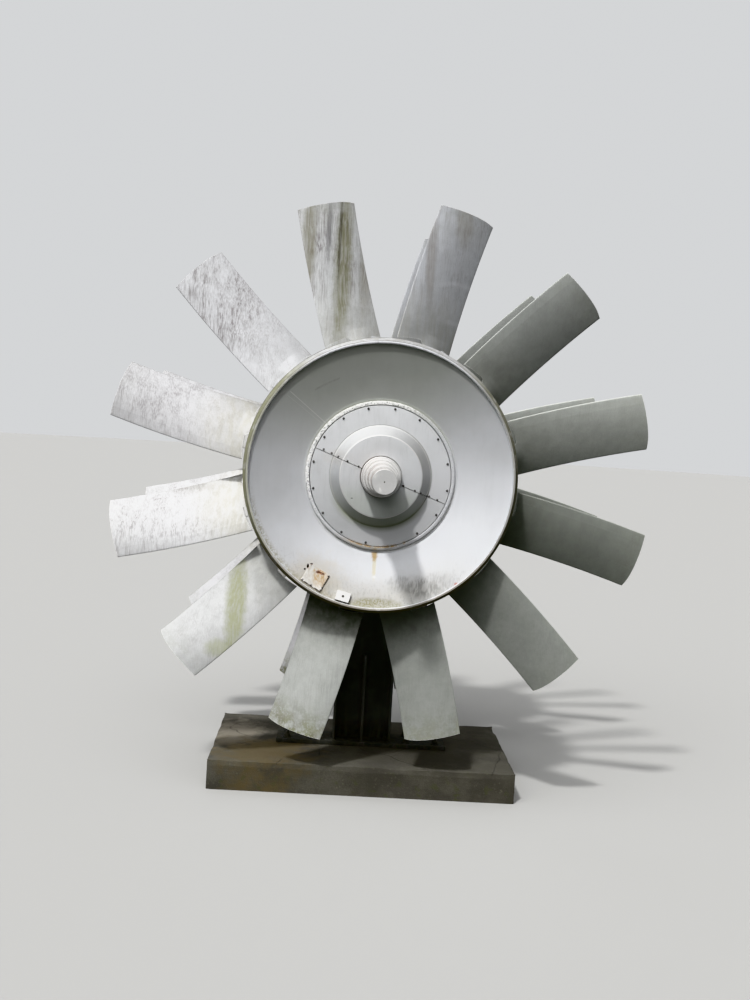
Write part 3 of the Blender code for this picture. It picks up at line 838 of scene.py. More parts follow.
def makeRimPaint(title):
    material, tree, shader, place = startFinish(title)
    radius = effect(tree, "hubClock", "Radius", place=place)
    parts = axes(tree, place)
    cloud = effect(tree, "patches", place=place, size=0.25)
    colour = mix(tree, times(tree, cloud, 0.5), hubPaint["fresh"], hubPaint["dull"])
    runs = effect(tree, "dripStreaks", place=place, width=0.02, length=0.25, start=0.50, full=0.70)
    colour = coat(tree, colour, hubPaint["grime"], runs, 0.24)
    # moss on the left of the rolled rim, brown dirt at the bottom and painted shade on the right; the top is
    # washed clean
    edge = effect(tree, "wornEdges", radius=0.003, start=0.03, full=0.16)
    colour = coat(tree, colour, hubPaint["wornLip"], edge, 0.60)
    # the bevel is duller than the lip
    bevel = effect(tree, "patches", place=place, size=0.04, start=0.34, full=0.62)
    bevel = times(tree, remap(tree, radius, 0.6275, 0.6300), scaled(tree, bevel, 0.35, 0.75))
    colour = coat(tree, colour, hubPaint["bevel"], bevel)
    side = remap(tree, parts["Z"], layout["axisHeight"] + 0.58, layout["axisHeight"] + 0.40)
    growth = effect(tree, "patches", place=place, size=0.05, start=0.26, full=0.50)
    growth = scaled(tree, growth, 0.62, 0.95)
    lowered = remap(tree, parts["Z"], layout["axisHeight"] - 0.15, layout["axisHeight"] - 0.48)
    tint = mix(tree, remap(tree, parts["X"], -0.25, 0.25), hubPaint["rimMoss"], hubPaint["rimShade"])
    tint = mix(tree, lowered, tint, hubPaint["rimBrown"])
    moss = times(tree, side, growth, remap(tree, radius, 0.6160, 0.6180))
    moss = times(tree, moss, remap(tree, radius, 0.6262, 0.6280, 0.82, 1.0))
    moss = times(tree, moss, remap(tree, radius, 0.6440, 0.6480, 1.0, 0.60))
    tint = mix(tree, remap(tree, radius, 0.6270, 0.6290, 0.0, 0.40), tint, hubPaint["lipMoss"])
    colour = coat(tree, colour, tint, moss)
    seam = remap(tree, calc(tree, "ABSOLUTE", calc(tree, "SUBTRACT", radius, 0.6272)), 0.0024, 0.0008)
    seam = larger(tree, seam, remap(tree, radius, 0.6425, 0.6440))
    colour = coat(tree, colour, hubPaint["rimSeam"], seam, 0.75)
    # dirt and painted shade in the rim's corners
    corner = effect(tree, "cornerDirtAndShade", distance=0.02, start=0.30, full=0.85)
    colour = coat(tree, colour, hubPaint["rimCorner"], corner, 0.7)
    foul = larger(tree, moss, corner)
    metallic = remap(tree, foul, 0.0, 0.8, 0.80, 0.15)
    roughness = calc(tree, "ADD", 0.60, times(tree, foul, 0.25), clamped=True)
    skin = effect(tree, "sheetSkin", "Height", place=place, wave=0.15, waveDepth=0.0008, grain=0.006,
                  grainDepth=0.00015)
    setSurface(tree, shader, colour, roughness, metallic, skin)
    return material


# Cover cap with its bolts, split in two on a slanting line
cover = {
    "radius": 0.331,
    "forward": 0.100,
    "capBase": 0.236,
    "capFace": 0.193,
    "capForward": 0.170,
    "bore": 0.0965,
    "plate": 0.008,
    "splitClock": 110.3,
    "splitGap": 0.0030,
    "ringBolts": 16,
    "lostBolt": 8,
    "ringBoltRadius": 0.3205,
    "ringBoltClock": -13.4,
    "boltSize": 0.0060,
    "splitBolts": ((292.0, 0.294), (292.0, 0.253), (292.0, 0.217), (291.8, 0.171), (291.5, 0.114),
                   (108.6, 0.112), (109.0, 0.170), (109.3, 0.200), (109.4, 0.248), (109.5, 0.290)),
}


def coverProfile():
    plate = cover["plate"]
    points = [
        (cover["bore"], cover["capForward"] - plate, 0.001), (cover["bore"], cover["capForward"], 0.0015),
        (cover["capFace"], cover["capForward"], 0.0035), (cover["capBase"], cover["forward"], 0.0040),
        (cover["radius"], cover["forward"], 0.0018), (cover["radius"], cover["forward"] - plate, 0.001),
        (cover["capBase"] - plate, cover["forward"] - plate, 0.004),
        (cover["capFace"] - plate, cover["capForward"] - plate, 0.004),
    ]
    return softCorners(points, 0.002, 4)


def coverSurface(radius):
    # forward height of the cover's skin and its tilt at this radius
    if radius >= cover["capBase"]:
        return cover["forward"], 0.0
    if radius <= cover["capFace"]:
        return cover["capForward"], 0.0
    share = (cover["capBase"] - radius) / (cover["capBase"] - cover["capFace"])
    rise = cover["capForward"] - cover["forward"]
    return cover["forward"] + rise * share, math.atan2(rise, cover["capBase"] - cover["capFace"])


def makeCovers(row, outward, paint, boltPaint):
    split = math.radians(cover["splitClock"])
    away = Vector((math.cos(split), 0, -math.sin(split)))  # square to the split, towards the lower half
    for half, start, push in (("Upper", split - math.pi, -1), ("Lower", split, 1)):
        shape, rings = turnedShape(coverProfile(), 110, outward, start, math.pi)
        for vert in rings[0] + rings[-1]:
            vert.co += away * (push * cover["splitGap"] / 2)
        addPiece(f"{row}Cover{half}", toMesh(shape, f"{row}Cover{half}", 40), "rotor", paint,
                 (f"{row}_cover_{half.lower()}",))
    shape = bmesh.new()
    for i in range(cover["ringBolts"]):
        if row == "front" and i == cover["lostBolt"]:
            continue
        clock = math.radians(cover["ringBoltClock"]) + i * math.tau / cover["ringBolts"]
        place = hubPoint(cover["ringBoltRadius"], clock, cover["forward"], outward)
        addBolt(shape, facing(place, hubNormal(clock, 0, outward), 0.7 * i), cover["boltSize"])
    for degrees, radius in cover["splitBolts"]:
        clock = math.radians(degrees)
        forward, tilt = coverSurface(radius)
        place = hubPoint(radius, clock, forward, outward)
        addBolt(shape, facing(place, hubNormal(clock, tilt, outward), radius * 9), 0.85 * cover["boltSize"])
    addPiece(f"{row}CoverBolts", toMesh(shape, f"{row}CoverBolts"), "rotor", boltPaint)


coverPaint = {
    "wash": (0.40, 0.41, 0.40),
    "shade": (0.36, 0.35, 0.32),
    "lowerRightLight": (0.97, 0.98, 1.0),
    "halo": (0.52, 0.44, 0.33),
    "nick": (0.12, 0.12, 0.10),
    "corner": (0.13, 0.12, 0.09),
    "under": (0.22, 0.24, 0.16),
    "upperTint": (0.89, 0.88, 0.87),
    "lowerTint": (0.88, 0.93, 0.82),
    "fresh": (0.84, 0.855, 0.87),
    "dull": (0.71, 0.72, 0.725),
    "film": (0.20, 0.23, 0.13),
    "rust": (0.42, 0.27, 0.11),
    "worn": (0.95, 0.94, 0.91),
    # painted highlights along both edges of the bevel, then dark lines of dirt outside it and round the shaft
    "rings": ((0.1925, 0.0036, 0.75, (0.97, 0.96, 0.95)), (0.2345, 0.0034, 0.50, (0.90, 0.90, 0.88)),
              (0.2395, 0.0032, 0.45, (0.22, 0.21, 0.19)), (0.0975, 0.0030, 0.35, (0.18, 0.16, 0.13))),
}


def makeCoverPaint(title, marked):
    material, tree, shader, place = startFinish(title, "GGX")
    parts = axes(tree, place)
    cloud = effect(tree, "patches", place=place, size=0.16, start=0.36, full=0.66)
    colour = mix(tree, times(tree, cloud, 0.45), coverPaint["fresh"], coverPaint["dull"])
    wash = effect(tree, "dripStreaks", place=place, width=0.014, length=0.12, start=0.48, full=0.75)
    colour = coat(tree, colour, coverPaint["wash"], wash, 0.12)
    radius = effect(tree, "hubClock", "Radius", place=place)
    low = remap(tree, parts["Z"], layout["axisHeight"] + 0.02, layout["axisHeight"] - 0.25)
    # green film on the bevel's underside, which also paints the green cast of its shade; rust along the rim
    # at the bottom
    bevel = times(tree, remap(tree, radius, 0.186, 0.196), remap(tree, radius, 0.246, 0.234))
    high = remap(tree, parts["Z"], layout["axisHeight"], layout["axisHeight"] + 0.08)
    colour = mix(tree, times(tree, bevel, high), colour, coverPaint["upperTint"], "MULTIPLY")
    film = times(tree, bevel, low, 0.62)
    colour = coat(tree, colour, coverPaint["film"], film)
    # painted shade in the corner below the bevel, towards the bottom
    under = times(tree, remap(tree, radius, 0.228, 0.236), remap(tree, radius, 0.272, 0.238),
                  remap(tree, parts["Z"], layout["axisHeight"] - 0.06, layout["axisHeight"] - 0.20))
    face = times(tree, remap(tree, radius, 0.196, 0.186),
                 remap(tree, parts["Z"], layout["axisHeight"] - 0.02, layout["axisHeight"] - 0.12))
    colour = mix(tree, times(tree, face, 0.5), colour, coverPaint["lowerTint"], "MULTIPLY")
    shade = times(tree, bevel, remap(tree, parts["X"], 0.08, 0.20), 0.32)
    colour = coat(tree, colour, coverPaint["shade"], shade)
    # painted light: the flange is lightened towards the lower right
    across = calc(tree, "SUBTRACT", parts["X"], calc(tree, "SUBTRACT", parts["Z"], layout["axisHeight"]))
    lowerRightLight = times(tree, remap(tree, radius, 0.240, 0.250), remap(tree, across, 0.05, 0.30))
    colour = coat(tree, colour, coverPaint["lowerRightLight"], lowerRightLight, 0.80)
    rim = times(tree, remap(tree, radius, 0.3245, 0.3290), remap(tree, parts["Z"], 1.32, 1.26))
    rust = times(tree, rim, effect(tree, "patches", place=place, size=0.03, start=0.44, full=0.60), 0.7)
    colour = coat(tree, colour, coverPaint["rust"], rust)
    if marked:
        halo = effect(tree, "spot", place=place, centre=(-0.21, -0.70, 1.665), reach=(0.10, 0.3, 0.05),
                      ragged=0.3, grain=0.03)
        colour = coat(tree, colour, coverPaint["halo"], halo, 0.12)
        nick = effect(tree, "spot", place=place, centre=(-0.129, -0.70, 1.478), reach=(0.007, 0.3, 0.004),
                      ragged=0.3, grain=0.01)
        colour = coat(tree, colour, coverPaint["nick"], nick, 0.8)
    # dirt and painted shade in the cover's corners
    corner = effect(tree, "cornerDirtAndShade", distance=0.012, start=0.35, full=0.90)
    colour = coat(tree, colour, coverPaint["corner"], corner, 0.6)
    # painted highlight: the cap's edges are lightened where they catch the light
    edge = effect(tree, "wornEdges", radius=0.004, start=0.012, full=0.09)
    colour = coat(tree, colour, coverPaint["worn"], edge, 0.75)
    # the rings: painted highlights at the bevel's edges, dark lines of dirt beside them
    for ring, width, amount, tint in coverPaint["rings"]:
        line = remap(tree, calc(tree, "ABSOLUTE", calc(tree, "SUBTRACT", radius, ring)), width, 0.3 * width)
        colour = coat(tree, colour, tint, line, amount)
    # painted shade below the bevel
    colour = coat(tree, colour, coverPaint["under"], under, 0.72)
    foul = larger(tree, film, rust, corner, times(tree, under, 0.6))
    metallic = remap(tree, foul, 0.0, 0.8, 0.97, 0.10)
    skin = effect(tree, "sheetSkin", "Height", place=place, wave=0.12, waveDepth=0.0008, grain=0.005,
                  grainDepth=0.00010)
    setSurface(tree, shader, colour, scaled(tree, foul, 0.68, 0.85), metallic, skin)
    return material


def makeBoltPaint():
    material, tree, shader, place = startFinish("boltPaint")
    worn = effect(tree, "patches", place=place, size=0.05, start=0.45, full=0.60)
    colour = mix(tree, worn, (0.085, 0.085, 0.085), (0.13, 0.125, 0.12))
    edge = effect(tree, "wornEdges", radius=0.0015, start=0.03, full=0.2)
    colour = coat(tree, colour, (0.62, 0.62, 0.61), edge, 0.22)
    setSurface(tree, shader, colour, scaled(tree, worn, 0.6, 0.75), 0.5)
    return material


neck = {"rivets": 36, "rivetRadius": 0.3410, "rivetForward": 0.1025, "rivetSize": 0.0028}


def makeHubs(boltPaint):
    for outward, row in ((-1, "front"), (1, "rear")):
        marked = row == "front"
        dishPaint = makeHubPaint(f"{row}DishPaint", marked)
        rimPaint = makeRimPaint(f"{row}DrumPaint")
        capPaint = makeCoverPaint(f"{row}CoverPaint", marked)
        shape, rings = turnedShape(drumProfile(), hub["sides"], outward)
        addPiece(f"{row}HubDrum", toMesh(shape, f"{row}HubDrum"), "rotor", rimPaint,
                 (f"{row}_hub_drum",))
        shape, rings = turnedShape(dishProfile(), hub["sides"], outward)
        # the neck was filled and dressed by hand, so its edge is not quite even
        for ring in rings:
            for vert in ring:
                radial = Vector((vert.co.x, 0, vert.co.z - layout["axisHeight"]))
                if 0.345 < radial.length < 0.354:
                    uneven = noise.noise(vert.co * 26.0) * 0.0012
                    vert.co += radial.normalized() * uneven
        addPiece(f"{row}HubDish", toMesh(shape, f"{row}HubDish"), "rotor", dishPaint,
                 (f"{row}_hub_dish",))
        makeCovers(row, outward, capPaint, boltPaint)
        shape = bmesh.new()
        for i in range(neck["rivets"]):
            clock = (i + 0.35 * noise.noise(Vector((i * 1.7, 0, 3)))) * math.tau / neck["rivets"]
            place = hubPoint(neck["rivetRadius"], clock, neck["rivetForward"], outward)
            addRivet(shape, facing(place, hubNormal(clock, 0.0, outward)), neck["rivetSize"])
        addPiece(f"{row}NeckRivets", toMesh(shape, f"{row}NeckRivets"), "rotor", dishPaint)


boltPaint = makeBoltPaint()
makeHubs(boltPaint)
print("hubs made")


# Shaft: turned steps with chamfers and tool grooves
shaft = {
    "steel": (0.93, 0.93, 0.92),
    "dullSteel": (0.79, 0.79, 0.78),
    "sideShade": (0.86, 0.835, 0.83),
    "leftTint": (0.74, 0.69, 0.66),
    "toolMarks": (0.30, 0.29, 0.27),
    "corner": (0.12, 0.10, 0.08),
    "drillHoleShade": (0.03, 0.028, 0.025),
    "rust": (0.34, 0.29, 0.22),
    "worn": (0.85, 0.84, 0.82),
    "radius": 0.125,
    "steps": ((0.094, 0.215), (0.088, 0.270), (0.077, 0.340), (0.066, 0.500), (0.0555, 0.650)),
    "chamfer": 0.0022,
    "grooveDepth": 0.0028,
    "grooveWidth": 0.004,
    "drill": (0.0028, 0.006),
}


def makeShaft():
    half = layout["rowSpacing"] / 2
    start = hub["back"] + hub["wall"] + hub["plate"]
    side = [(shaft["radius"], start - 0.003), (shaft["radius"] - 0.003, start)]
    for radius, end in shaft["steps"]:
        cut, deep, wide = shaft["chamfer"], shaft["grooveDepth"], shaft["grooveWidth"]
        side += [(radius - deep, start), (radius - deep, start + wide), (radius, start + wide + deep)]
        middle = (start + end) / 2
        side += [(radius, middle - wide), (radius - deep, middle - wide + deep)]
        side += [(radius - deep, middle + wide - deep), (radius, middle + wide)]
        side += [(radius, end - cut), (radius - cut, end)]
        start = end
    drillRadius, drillDepth = shaft["drill"]
    side += [(drillRadius + 0.001, start), (drillRadius, start - 0.001), (0.0, start - drillDepth)]
    shape = bmesh.new()
    outline = [(r, -(half + f)) for r, f in reversed(side)] + [(r, half + f) for r, f in side]
    rings = []
    sides = 120
    for step in range(sides):
        clock = step * math.tau / sides
        ring = [(r * math.sin(clock), y, layout["axisHeight"] + r * math.cos(clock)) for r, y in outline]
        rings.append([shape.verts.new(point) for point in ring])
    for i in range(sides):
        near, far = rings[i], rings[(i + 1) % sides]
        for j in range(len(outline) - 1):
            shape.faces.new((near[j], near[j + 1], far[j + 1], far[j]))
    bmesh.ops.dissolve_degenerate(shape, edges=shape.edges, dist=0.00001)
    material, tree, shader, place = startFinish("shaftSteel")
    parts = axes(tree, place)
    cloud = effect(tree, "patches", place=place, size=0.07, start=0.40, full=0.62)
    colour = mix(tree, times(tree, cloud, 0.5), shaft["steel"], shaft["dullSteel"])
    # painted shade: the turned sides are darker than the end faces; the left sides are darker still
    normal = put(tree, "ShaderNodeNewGeometry").outputs["Normal"]
    flat = calc(tree, "ABSOLUTE", axes(tree, normal)["Y"])
    sideways = remap(tree, flat, 0.85, 0.30)
    colour = mix(tree, sideways, colour, shaft["sideShade"], "MULTIPLY")
    colour = mix(tree, times(tree, sideways, remap(tree, parts["X"], 0.03, -0.06)), colour, shaft["leftTint"],
                 "MULTIPLY")
    turned = put(tree, "ShaderNodeTexWave",
                 {"Vector": place, "Scale": 40.0, "Distortion": 1.5, "Detail": 2.0},
                 wave_type="BANDS", bands_direction="Y").outputs["Fac"]
    colour = coat(tree, colour, shaft["toolMarks"], turned, 0.12)
    # dirt and painted shade in the corners between the steps
    corner = effect(tree, "cornerDirtAndShade", distance=0.012, start=0.22, full=0.62)
    colour = coat(tree, colour, shaft["corner"], corner, 0.62)
    # painted shade in the centre-drill hole at the nose
    nose = (0.0, -layout["rowSpacing"] / 2 - shaft["steps"][-1][1], layout["axisHeight"])
    drillHoleShade = effect(tree, "spot", place=place, centre=nose, reach=(0.0042, 0.02, 0.0042), ragged=0.05,
                     grain=0.01)
    colour = coat(tree, colour, shaft["drillHoleShade"], drillHoleShade)
    rust = effect(tree, "dripStreaks", place=place, width=0.02, length=0.06, start=0.58, full=0.70)
    colour = coat(tree, colour, shaft["rust"], rust, 0.16)
    edge = effect(tree, "wornEdges", radius=0.003, start=0.03, full=0.2)
    colour = coat(tree, colour, shaft["worn"], edge, 0.5)
    foul = larger(tree, corner, times(tree, rust, 0.6))
    height = times(tree, turned, 0.00012)
    setSurface(tree, shader, colour, scaled(tree, foul, 0.52, 0.85), remap(tree, foul, 0.0, 0.8, 0.84, 0.15),
               height)
    addPiece("stagedShaft", toMesh(shape, "stagedShaft", 25), "rotor", material, ("shaft",))


makeShaft()
print("shaft made")


# Small plates on the dish
plates = {
    "hatchPaint": (0.68, 0.67, 0.64),
    "hatchDull": (0.55, 0.53, 0.48),
    "paleRust": (0.57, 0.44, 0.25),
    "darkRust": (0.42, 0.26, 0.10),
    "veil": (0.36, 0.28, 0.18),
    "brokenLine": (0.060, 0.040, 0.028),
    "scab": (0.30, 0.11, 0.05),
    "tear": (0.02, 0.015, 0.01),
    "blockPaint": (0.80, 0.80, 0.79),
    "blockDull": (0.66, 0.66, 0.64),
    "blockWorn": (0.30, 0.27, 0.22),
    "blockCorner": (0.12, 0.11, 0.08),
    "hatch": {"clock": 209.5, "radius": 0.564, "across": 0.106, "along": 0.090, "thick": 0.005},
    "block": {"clock": 194.2, "radius": 0.590, "across": 0.066, "along": 0.046, "thick": 0.016,
              "hole": 0.006},
    "clearance": 0.0012,
    "screwSize": 0.0036,
}


def plateMatrix(plate):
    # lifted so that the flat back clears the curved dish
    radius, half = plate["radius"], plate["along"] / 2
    tilt = math.atan2(dishHeight(radius + half) - dishHeight(radius - half), plate["along"])
    hollow = (plate["across"] / 2) ** 2 / (2 * radius) * math.tan(tilt)
    lift = hollow + plates["clearance"] + plate["thick"] / 2
    y = -layout["rowSpacing"] / 2 - dishHeight(radius) - lift * math.cos(tilt)
    at = Matrix.Translation((0, y, radius - lift * math.sin(tilt))) @ Matrix.Rotation(tilt, 4, "X")
    centre = Matrix.Translation((0, 0, layout["axisHeight"]))
    return centre @ Matrix.Rotation(math.radians(plate["clock"]), 4, "Y") @ at


def makeSmallPlates():
    plate = plates["hatch"]
    shape = bmesh.new()
    addBlock(shape, (plate["across"], plate["thick"], plate["along"]), Matrix.Identity(4), 0.0012, 1)
    bmesh.ops.subdivide_edges(shape, edges=list(shape.edges), cuts=6, use_grid_fill=True)
    for vert in shape.verts:
        # the corners have sprung a little away from the dish
        u, v = vert.co.x / plate["across"] * 2, vert.co.z / plate["along"] * 2
        vert.co.y -= 0.004 * max(0.0, u * -v) ** 3 + 0.002 * max(0.0, u * v) ** 3
        vert.co.x += noise.noise(vert.co * 60) * 0.0012
        vert.co.z += noise.noise(vert.co * 60 + Vector((5, 0, 0))) * 0.0012
    bmesh.ops.transform(shape, matrix=plateMatrix(plate), verts=shape.verts)
    material, tree, shader, place = startFinish("hatchPaint")
    cloud = effect(tree, "patches", place=place, size=0.03)
    colour = mix(tree, times(tree, cloud, 0.6), plates["hatchPaint"], plates["hatchDull"])
    stain = effect(tree, "spot", place=place, centre=(-0.248, -0.70, 1.100), reach=(0.056, 0.4, 0.060),
                   ragged=0.7, grain=0.016)
    torn = effect(tree, "dripStreaks", place=place, width=0.0045, length=0.03, start=0.40, full=0.62)
    rust = times(tree, stain, scaled(tree, torn, 0.40, 0.85))
    colour = coat(tree, colour, mix(tree, torn, plates["paleRust"], plates["darkRust"]), rust)
    veil = effect(tree, "dripStreaks", place=place, width=0.012, length=0.06, start=0.45, full=0.65)
    colour = coat(tree, colour, plates["veil"], veil, 0.24)
    dashes = scaled(tree, effect(tree, "patches", place=place, size=0.012, start=0.40, full=0.50), 0.30)
    # painted shadow: broken dark lines along the lower and right edges, the side away from the light
    halfAcross, halfAlong = plate["across"] / 2, plate["along"] / 2
    corners = [plateMatrix(plate) @ Vector((u * halfAcross, 0, v * halfAlong))
               for u, v in ((1, 1), (-1, 1), (-1, -1))]
    for start, end in zip(corners, corners[1:]):
        edge = effect(tree, "lineMark", **{"place": place, "from": start, "toward": end, "width": 0.0085})
        edge = remap(tree, times(tree, edge, dashes), 0.30, 0.50)
        colour = coat(tree, colour, plates["brokenLine"], edge, 0.9)
    for centre, reach in dishMarks["tears"]:
        scab = dishSpot(tree, place, centre, (1.3 * reach[0], 1.1 * reach[1]), 0.50, 0.006)
        colour = coat(tree, colour, plates["scab"], scab, 0.7)
        hole = dishSpot(tree, place, centre, (0.8 * reach[0], 0.45 * reach[1]), 0.55, 0.005)
        colour = coat(tree, colour, plates["tear"], remap(tree, hole, 0.2, 0.5))
    skin = effect(tree, "sheetSkin", "Height", place=place, wave=0.03, waveDepth=0.0008, grain=0.003,
                  grainDepth=0.0002)
    setSurface(tree, shader, colour, 0.75, scaled(tree, rust, 0.55, 0.0), skin)
    addPiece("hatchCover", toMesh(shape, "hatchCover", 30), "rotor", material, ("hatch_plate",))

    shape = bmesh.new()
    for u, v in ((-0.44, 0.42), (0.44, 0.42), (-0.44, -0.42), (0.44, -0.42), (0.0, 0.44)):
        spot = Matrix.Translation((u * plate["across"], -plate["thick"] / 2, v * plate["along"]))
        at = spot @ Matrix.Rotation(math.pi / 2, 4, "X")
        addRivet(shape, plateMatrix(plate) @ at, plates["screwSize"])
    addPiece("hatchScrews", toMesh(shape, "hatchScrews"), "rotor", boltPaint)

    plate = plates["block"]
    shape = bmesh.new()
    outer = [(-0.5, -0.5), (0.5, -0.5), (0.5, 0.5), (-0.5, 0.5)]
    sides = 24
    corners = softCorners([(x * plate["across"], z * plate["along"]) for x, z in outer], 0.003, 5)
    angles = [i * math.tau / sides - 2.356 for i in range(sides)]
    hole = [Vector((plate["hole"] * math.cos(angle), plate["hole"] * math.sin(angle))) for angle in angles]
    front, back = -plate["thick"] / 2, plate["thick"] / 2
    loops = []
    for y, grow in ((back, 0.0), (front + 0.0012, 0.0), (front, -0.0012)):
        scaleX, scaleZ = 1 + 2 * grow / plate["across"], 1 + 2 * grow / plate["along"]
        loops.append([shape.verts.new((p.x * scaleX, y, p.y * scaleZ)) for p in corners])
    inner = [[shape.verts.new((p.x * size, y, p.y * size)) for p in hole]
             for y, size in ((front, 1.12), (front + 0.0008, 1.0), (back, 1.0))]
    for near, far in zip(loops + inner, (loops + inner)[1:] + [loops[0]]):
        if len(near) == len(far):
            for i in range(len(near)):
                j = (i + 1) % len(near)
                shape.faces.new((near[i], near[j], far[j], far[i]))
        else:
            sideOf = [(ring[i], ring[(i + 1) % len(ring)]) for ring in (near, far) for i in range(len(ring))]
            edges = [shape.edges.get(pair) or shape.edges.new(pair) for pair in sideOf]
            bmesh.ops.bridge_loops(shape, edges=edges)
    bmesh.ops.transform(shape, matrix=plateMatrix(plate), verts=shape.verts)
    material, tree, shader, place = startFinish("blockPaint")
    cloud = effect(tree, "patches", place=place, size=0.03)
    colour = mix(tree, times(tree, cloud, 0.35), plates["blockPaint"], plates["blockDull"])
    edge = effect(tree, "wornEdges", radius=0.002, start=0.03, full=0.2)
    colour = coat(tree, colour, plates["blockWorn"], edge, 0.4)
    # dirt and painted shade round the block's foot
    corner = effect(tree, "cornerDirtAndShade", distance=0.01, start=0.3, full=0.8)
    colour = coat(tree, colour, plates["blockCorner"], corner, 0.7)
    skin = effect(tree, "sheetSkin", "Height", place=place, wave=0.03, waveDepth=0.0003, grain=0.003,
                  grainDepth=0.00008)
    setSurface(tree, shader, colour, 0.6, scaled(tree, corner, 0.8, 0.1), skin)
    addPiece("balanceBlock", toMesh(shape, "balanceBlock", 30), "rotor", material,
             ("balance_block",))


makeSmallPlates()
print("small plates made")


# Stand: column, ribs, plates and their welds and bolts
stand = {
    "paint": (0.135, 0.137, 0.130),
    "fadedPaint": (0.170, 0.171, 0.162),
    "footShade": (0.058, 0.059, 0.055),
    "dust": (0.21, 0.207, 0.188),
    "splash": (0.100, 0.094, 0.070),
    "bare": (0.12, 0.115, 0.10),
    "plinthTop": 0.15,
    "plateSize": (0.88, 0.22, 0.020),
    "columnWidth": 0.300,
    "columnDepth": 0.200,
    "web": 0.010,
    "flange": 0.012,
    "fillet": 0.013,
    "rib": 0.014,
    "ribHeight": 0.445,
    "ribSnipe": 0.018,
    "saddleSize": (0.46, 0.28, 0.030),
    "bearingDrop": 0.20,
    "weld": 0.007,
}


def standLevels():
    gap = layout["gap"]
    plateLow = stand["plinthTop"] + gap
    columnLow = plateLow + stand["plateSize"][2] + gap
    saddleLow = layout["axisHeight"] - stand["bearingDrop"] - gap - stand["saddleSize"][2]
    return plateLow, columnLow, saddleLow - gap, saddleLow


def extruded(outline, low, high, axis="Z"):
    shape = bmesh.new()
    bottom = [shape.verts.new((p[0], p[1], low)) for p in outline]
    face = shape.faces.new(bottom)
    made = bmesh.ops.extrude_face_region(shape, geom=[face])
    raised = [thing for thing in made["geom"] if isinstance(thing, bmesh.types.BMVert)]
    bmesh.ops.translate(shape, verts=raised, vec=(0, 0, high - low))
    if axis == "Y":
        bmesh.ops.rotate(shape, verts=shape.verts, matrix=Matrix.Rotation(math.pi / 2, 3, "X"))
    return shape


def makeStandPaint():
    material, tree, shader, place = startFinish("blackPaint")
    cloud = effect(tree, "patches", place=place, size=0.12)
    height = axes(tree, place)["Z"]
    colour = mix(tree, cloud, stand["paint"], stand["fadedPaint"])
    # painted shade: darker towards the foot, under the rotor
    colour = coat(tree, colour, stand["footShade"], remap(tree, height, 0.30, 0.18))
    dust = effect(tree, "dripStreaks", place=place, width=0.03, length=0.40, start=0.48, full=0.74)
    colour = coat(tree, colour, stand["dust"], dust, 0.35)
    foot = remap(tree, height, 0.42, 0.16)
    splash = times(tree, foot, effect(tree, "patches", place=place, size=0.03, start=0.42, full=0.62))
    colour = coat(tree, colour, stand["splash"], splash, 0.35)
    chips = effect(tree, "patches", place=place, size=0.018, start=0.64, full=0.68)
    edge = effect(tree, "wornEdges", radius=0.003, start=0.05, full=0.25)
    bare = larger(tree, times(tree, edge, 0.45), times(tree, chips, 0.35))
    colour = coat(tree, colour, stand["bare"], bare)
    skin = effect(tree, "sheetSkin", "Height", place=place, wave=0.10, waveDepth=0.0006, grain=0.004,
                  grainDepth=0.00020)
    shader.inputs["Specular IOR Level"].default_value = 0.15
    setSurface(tree, shader, colour, scaled(tree, larger(tree, bare, splash), 0.82, 0.95), 0.0, skin)
    return material


def beadAlong(shape, points, size, closed=False):
    # a rough weld bead: overlapping short rolls laid along a line
    count = len(points) - (0 if closed else 1)
    for i in range(count):
        start, end = Vector(points[i]), Vector(points[(i + 1) % len(points)])
        length = (end - start).length
        rolls = max(2, int(length / (size * 1.1)))
        for k in range(rolls):
            place = start.lerp(end, (k + 0.5) / rolls)
            swell = 1 + 0.16 * noise.noise(place * 90)
            matrix = facing(place, (end - start).normalized(), noise.noise(place * 40) * 3)
            half = length / rolls * 0.62
            addDisc(shape, matrix, -half, 0.0, size * swell * 0.82, size * swell, 8)
            addDisc(shape, matrix, 0.0, half, size * swell, size * swell * 0.82, 8)


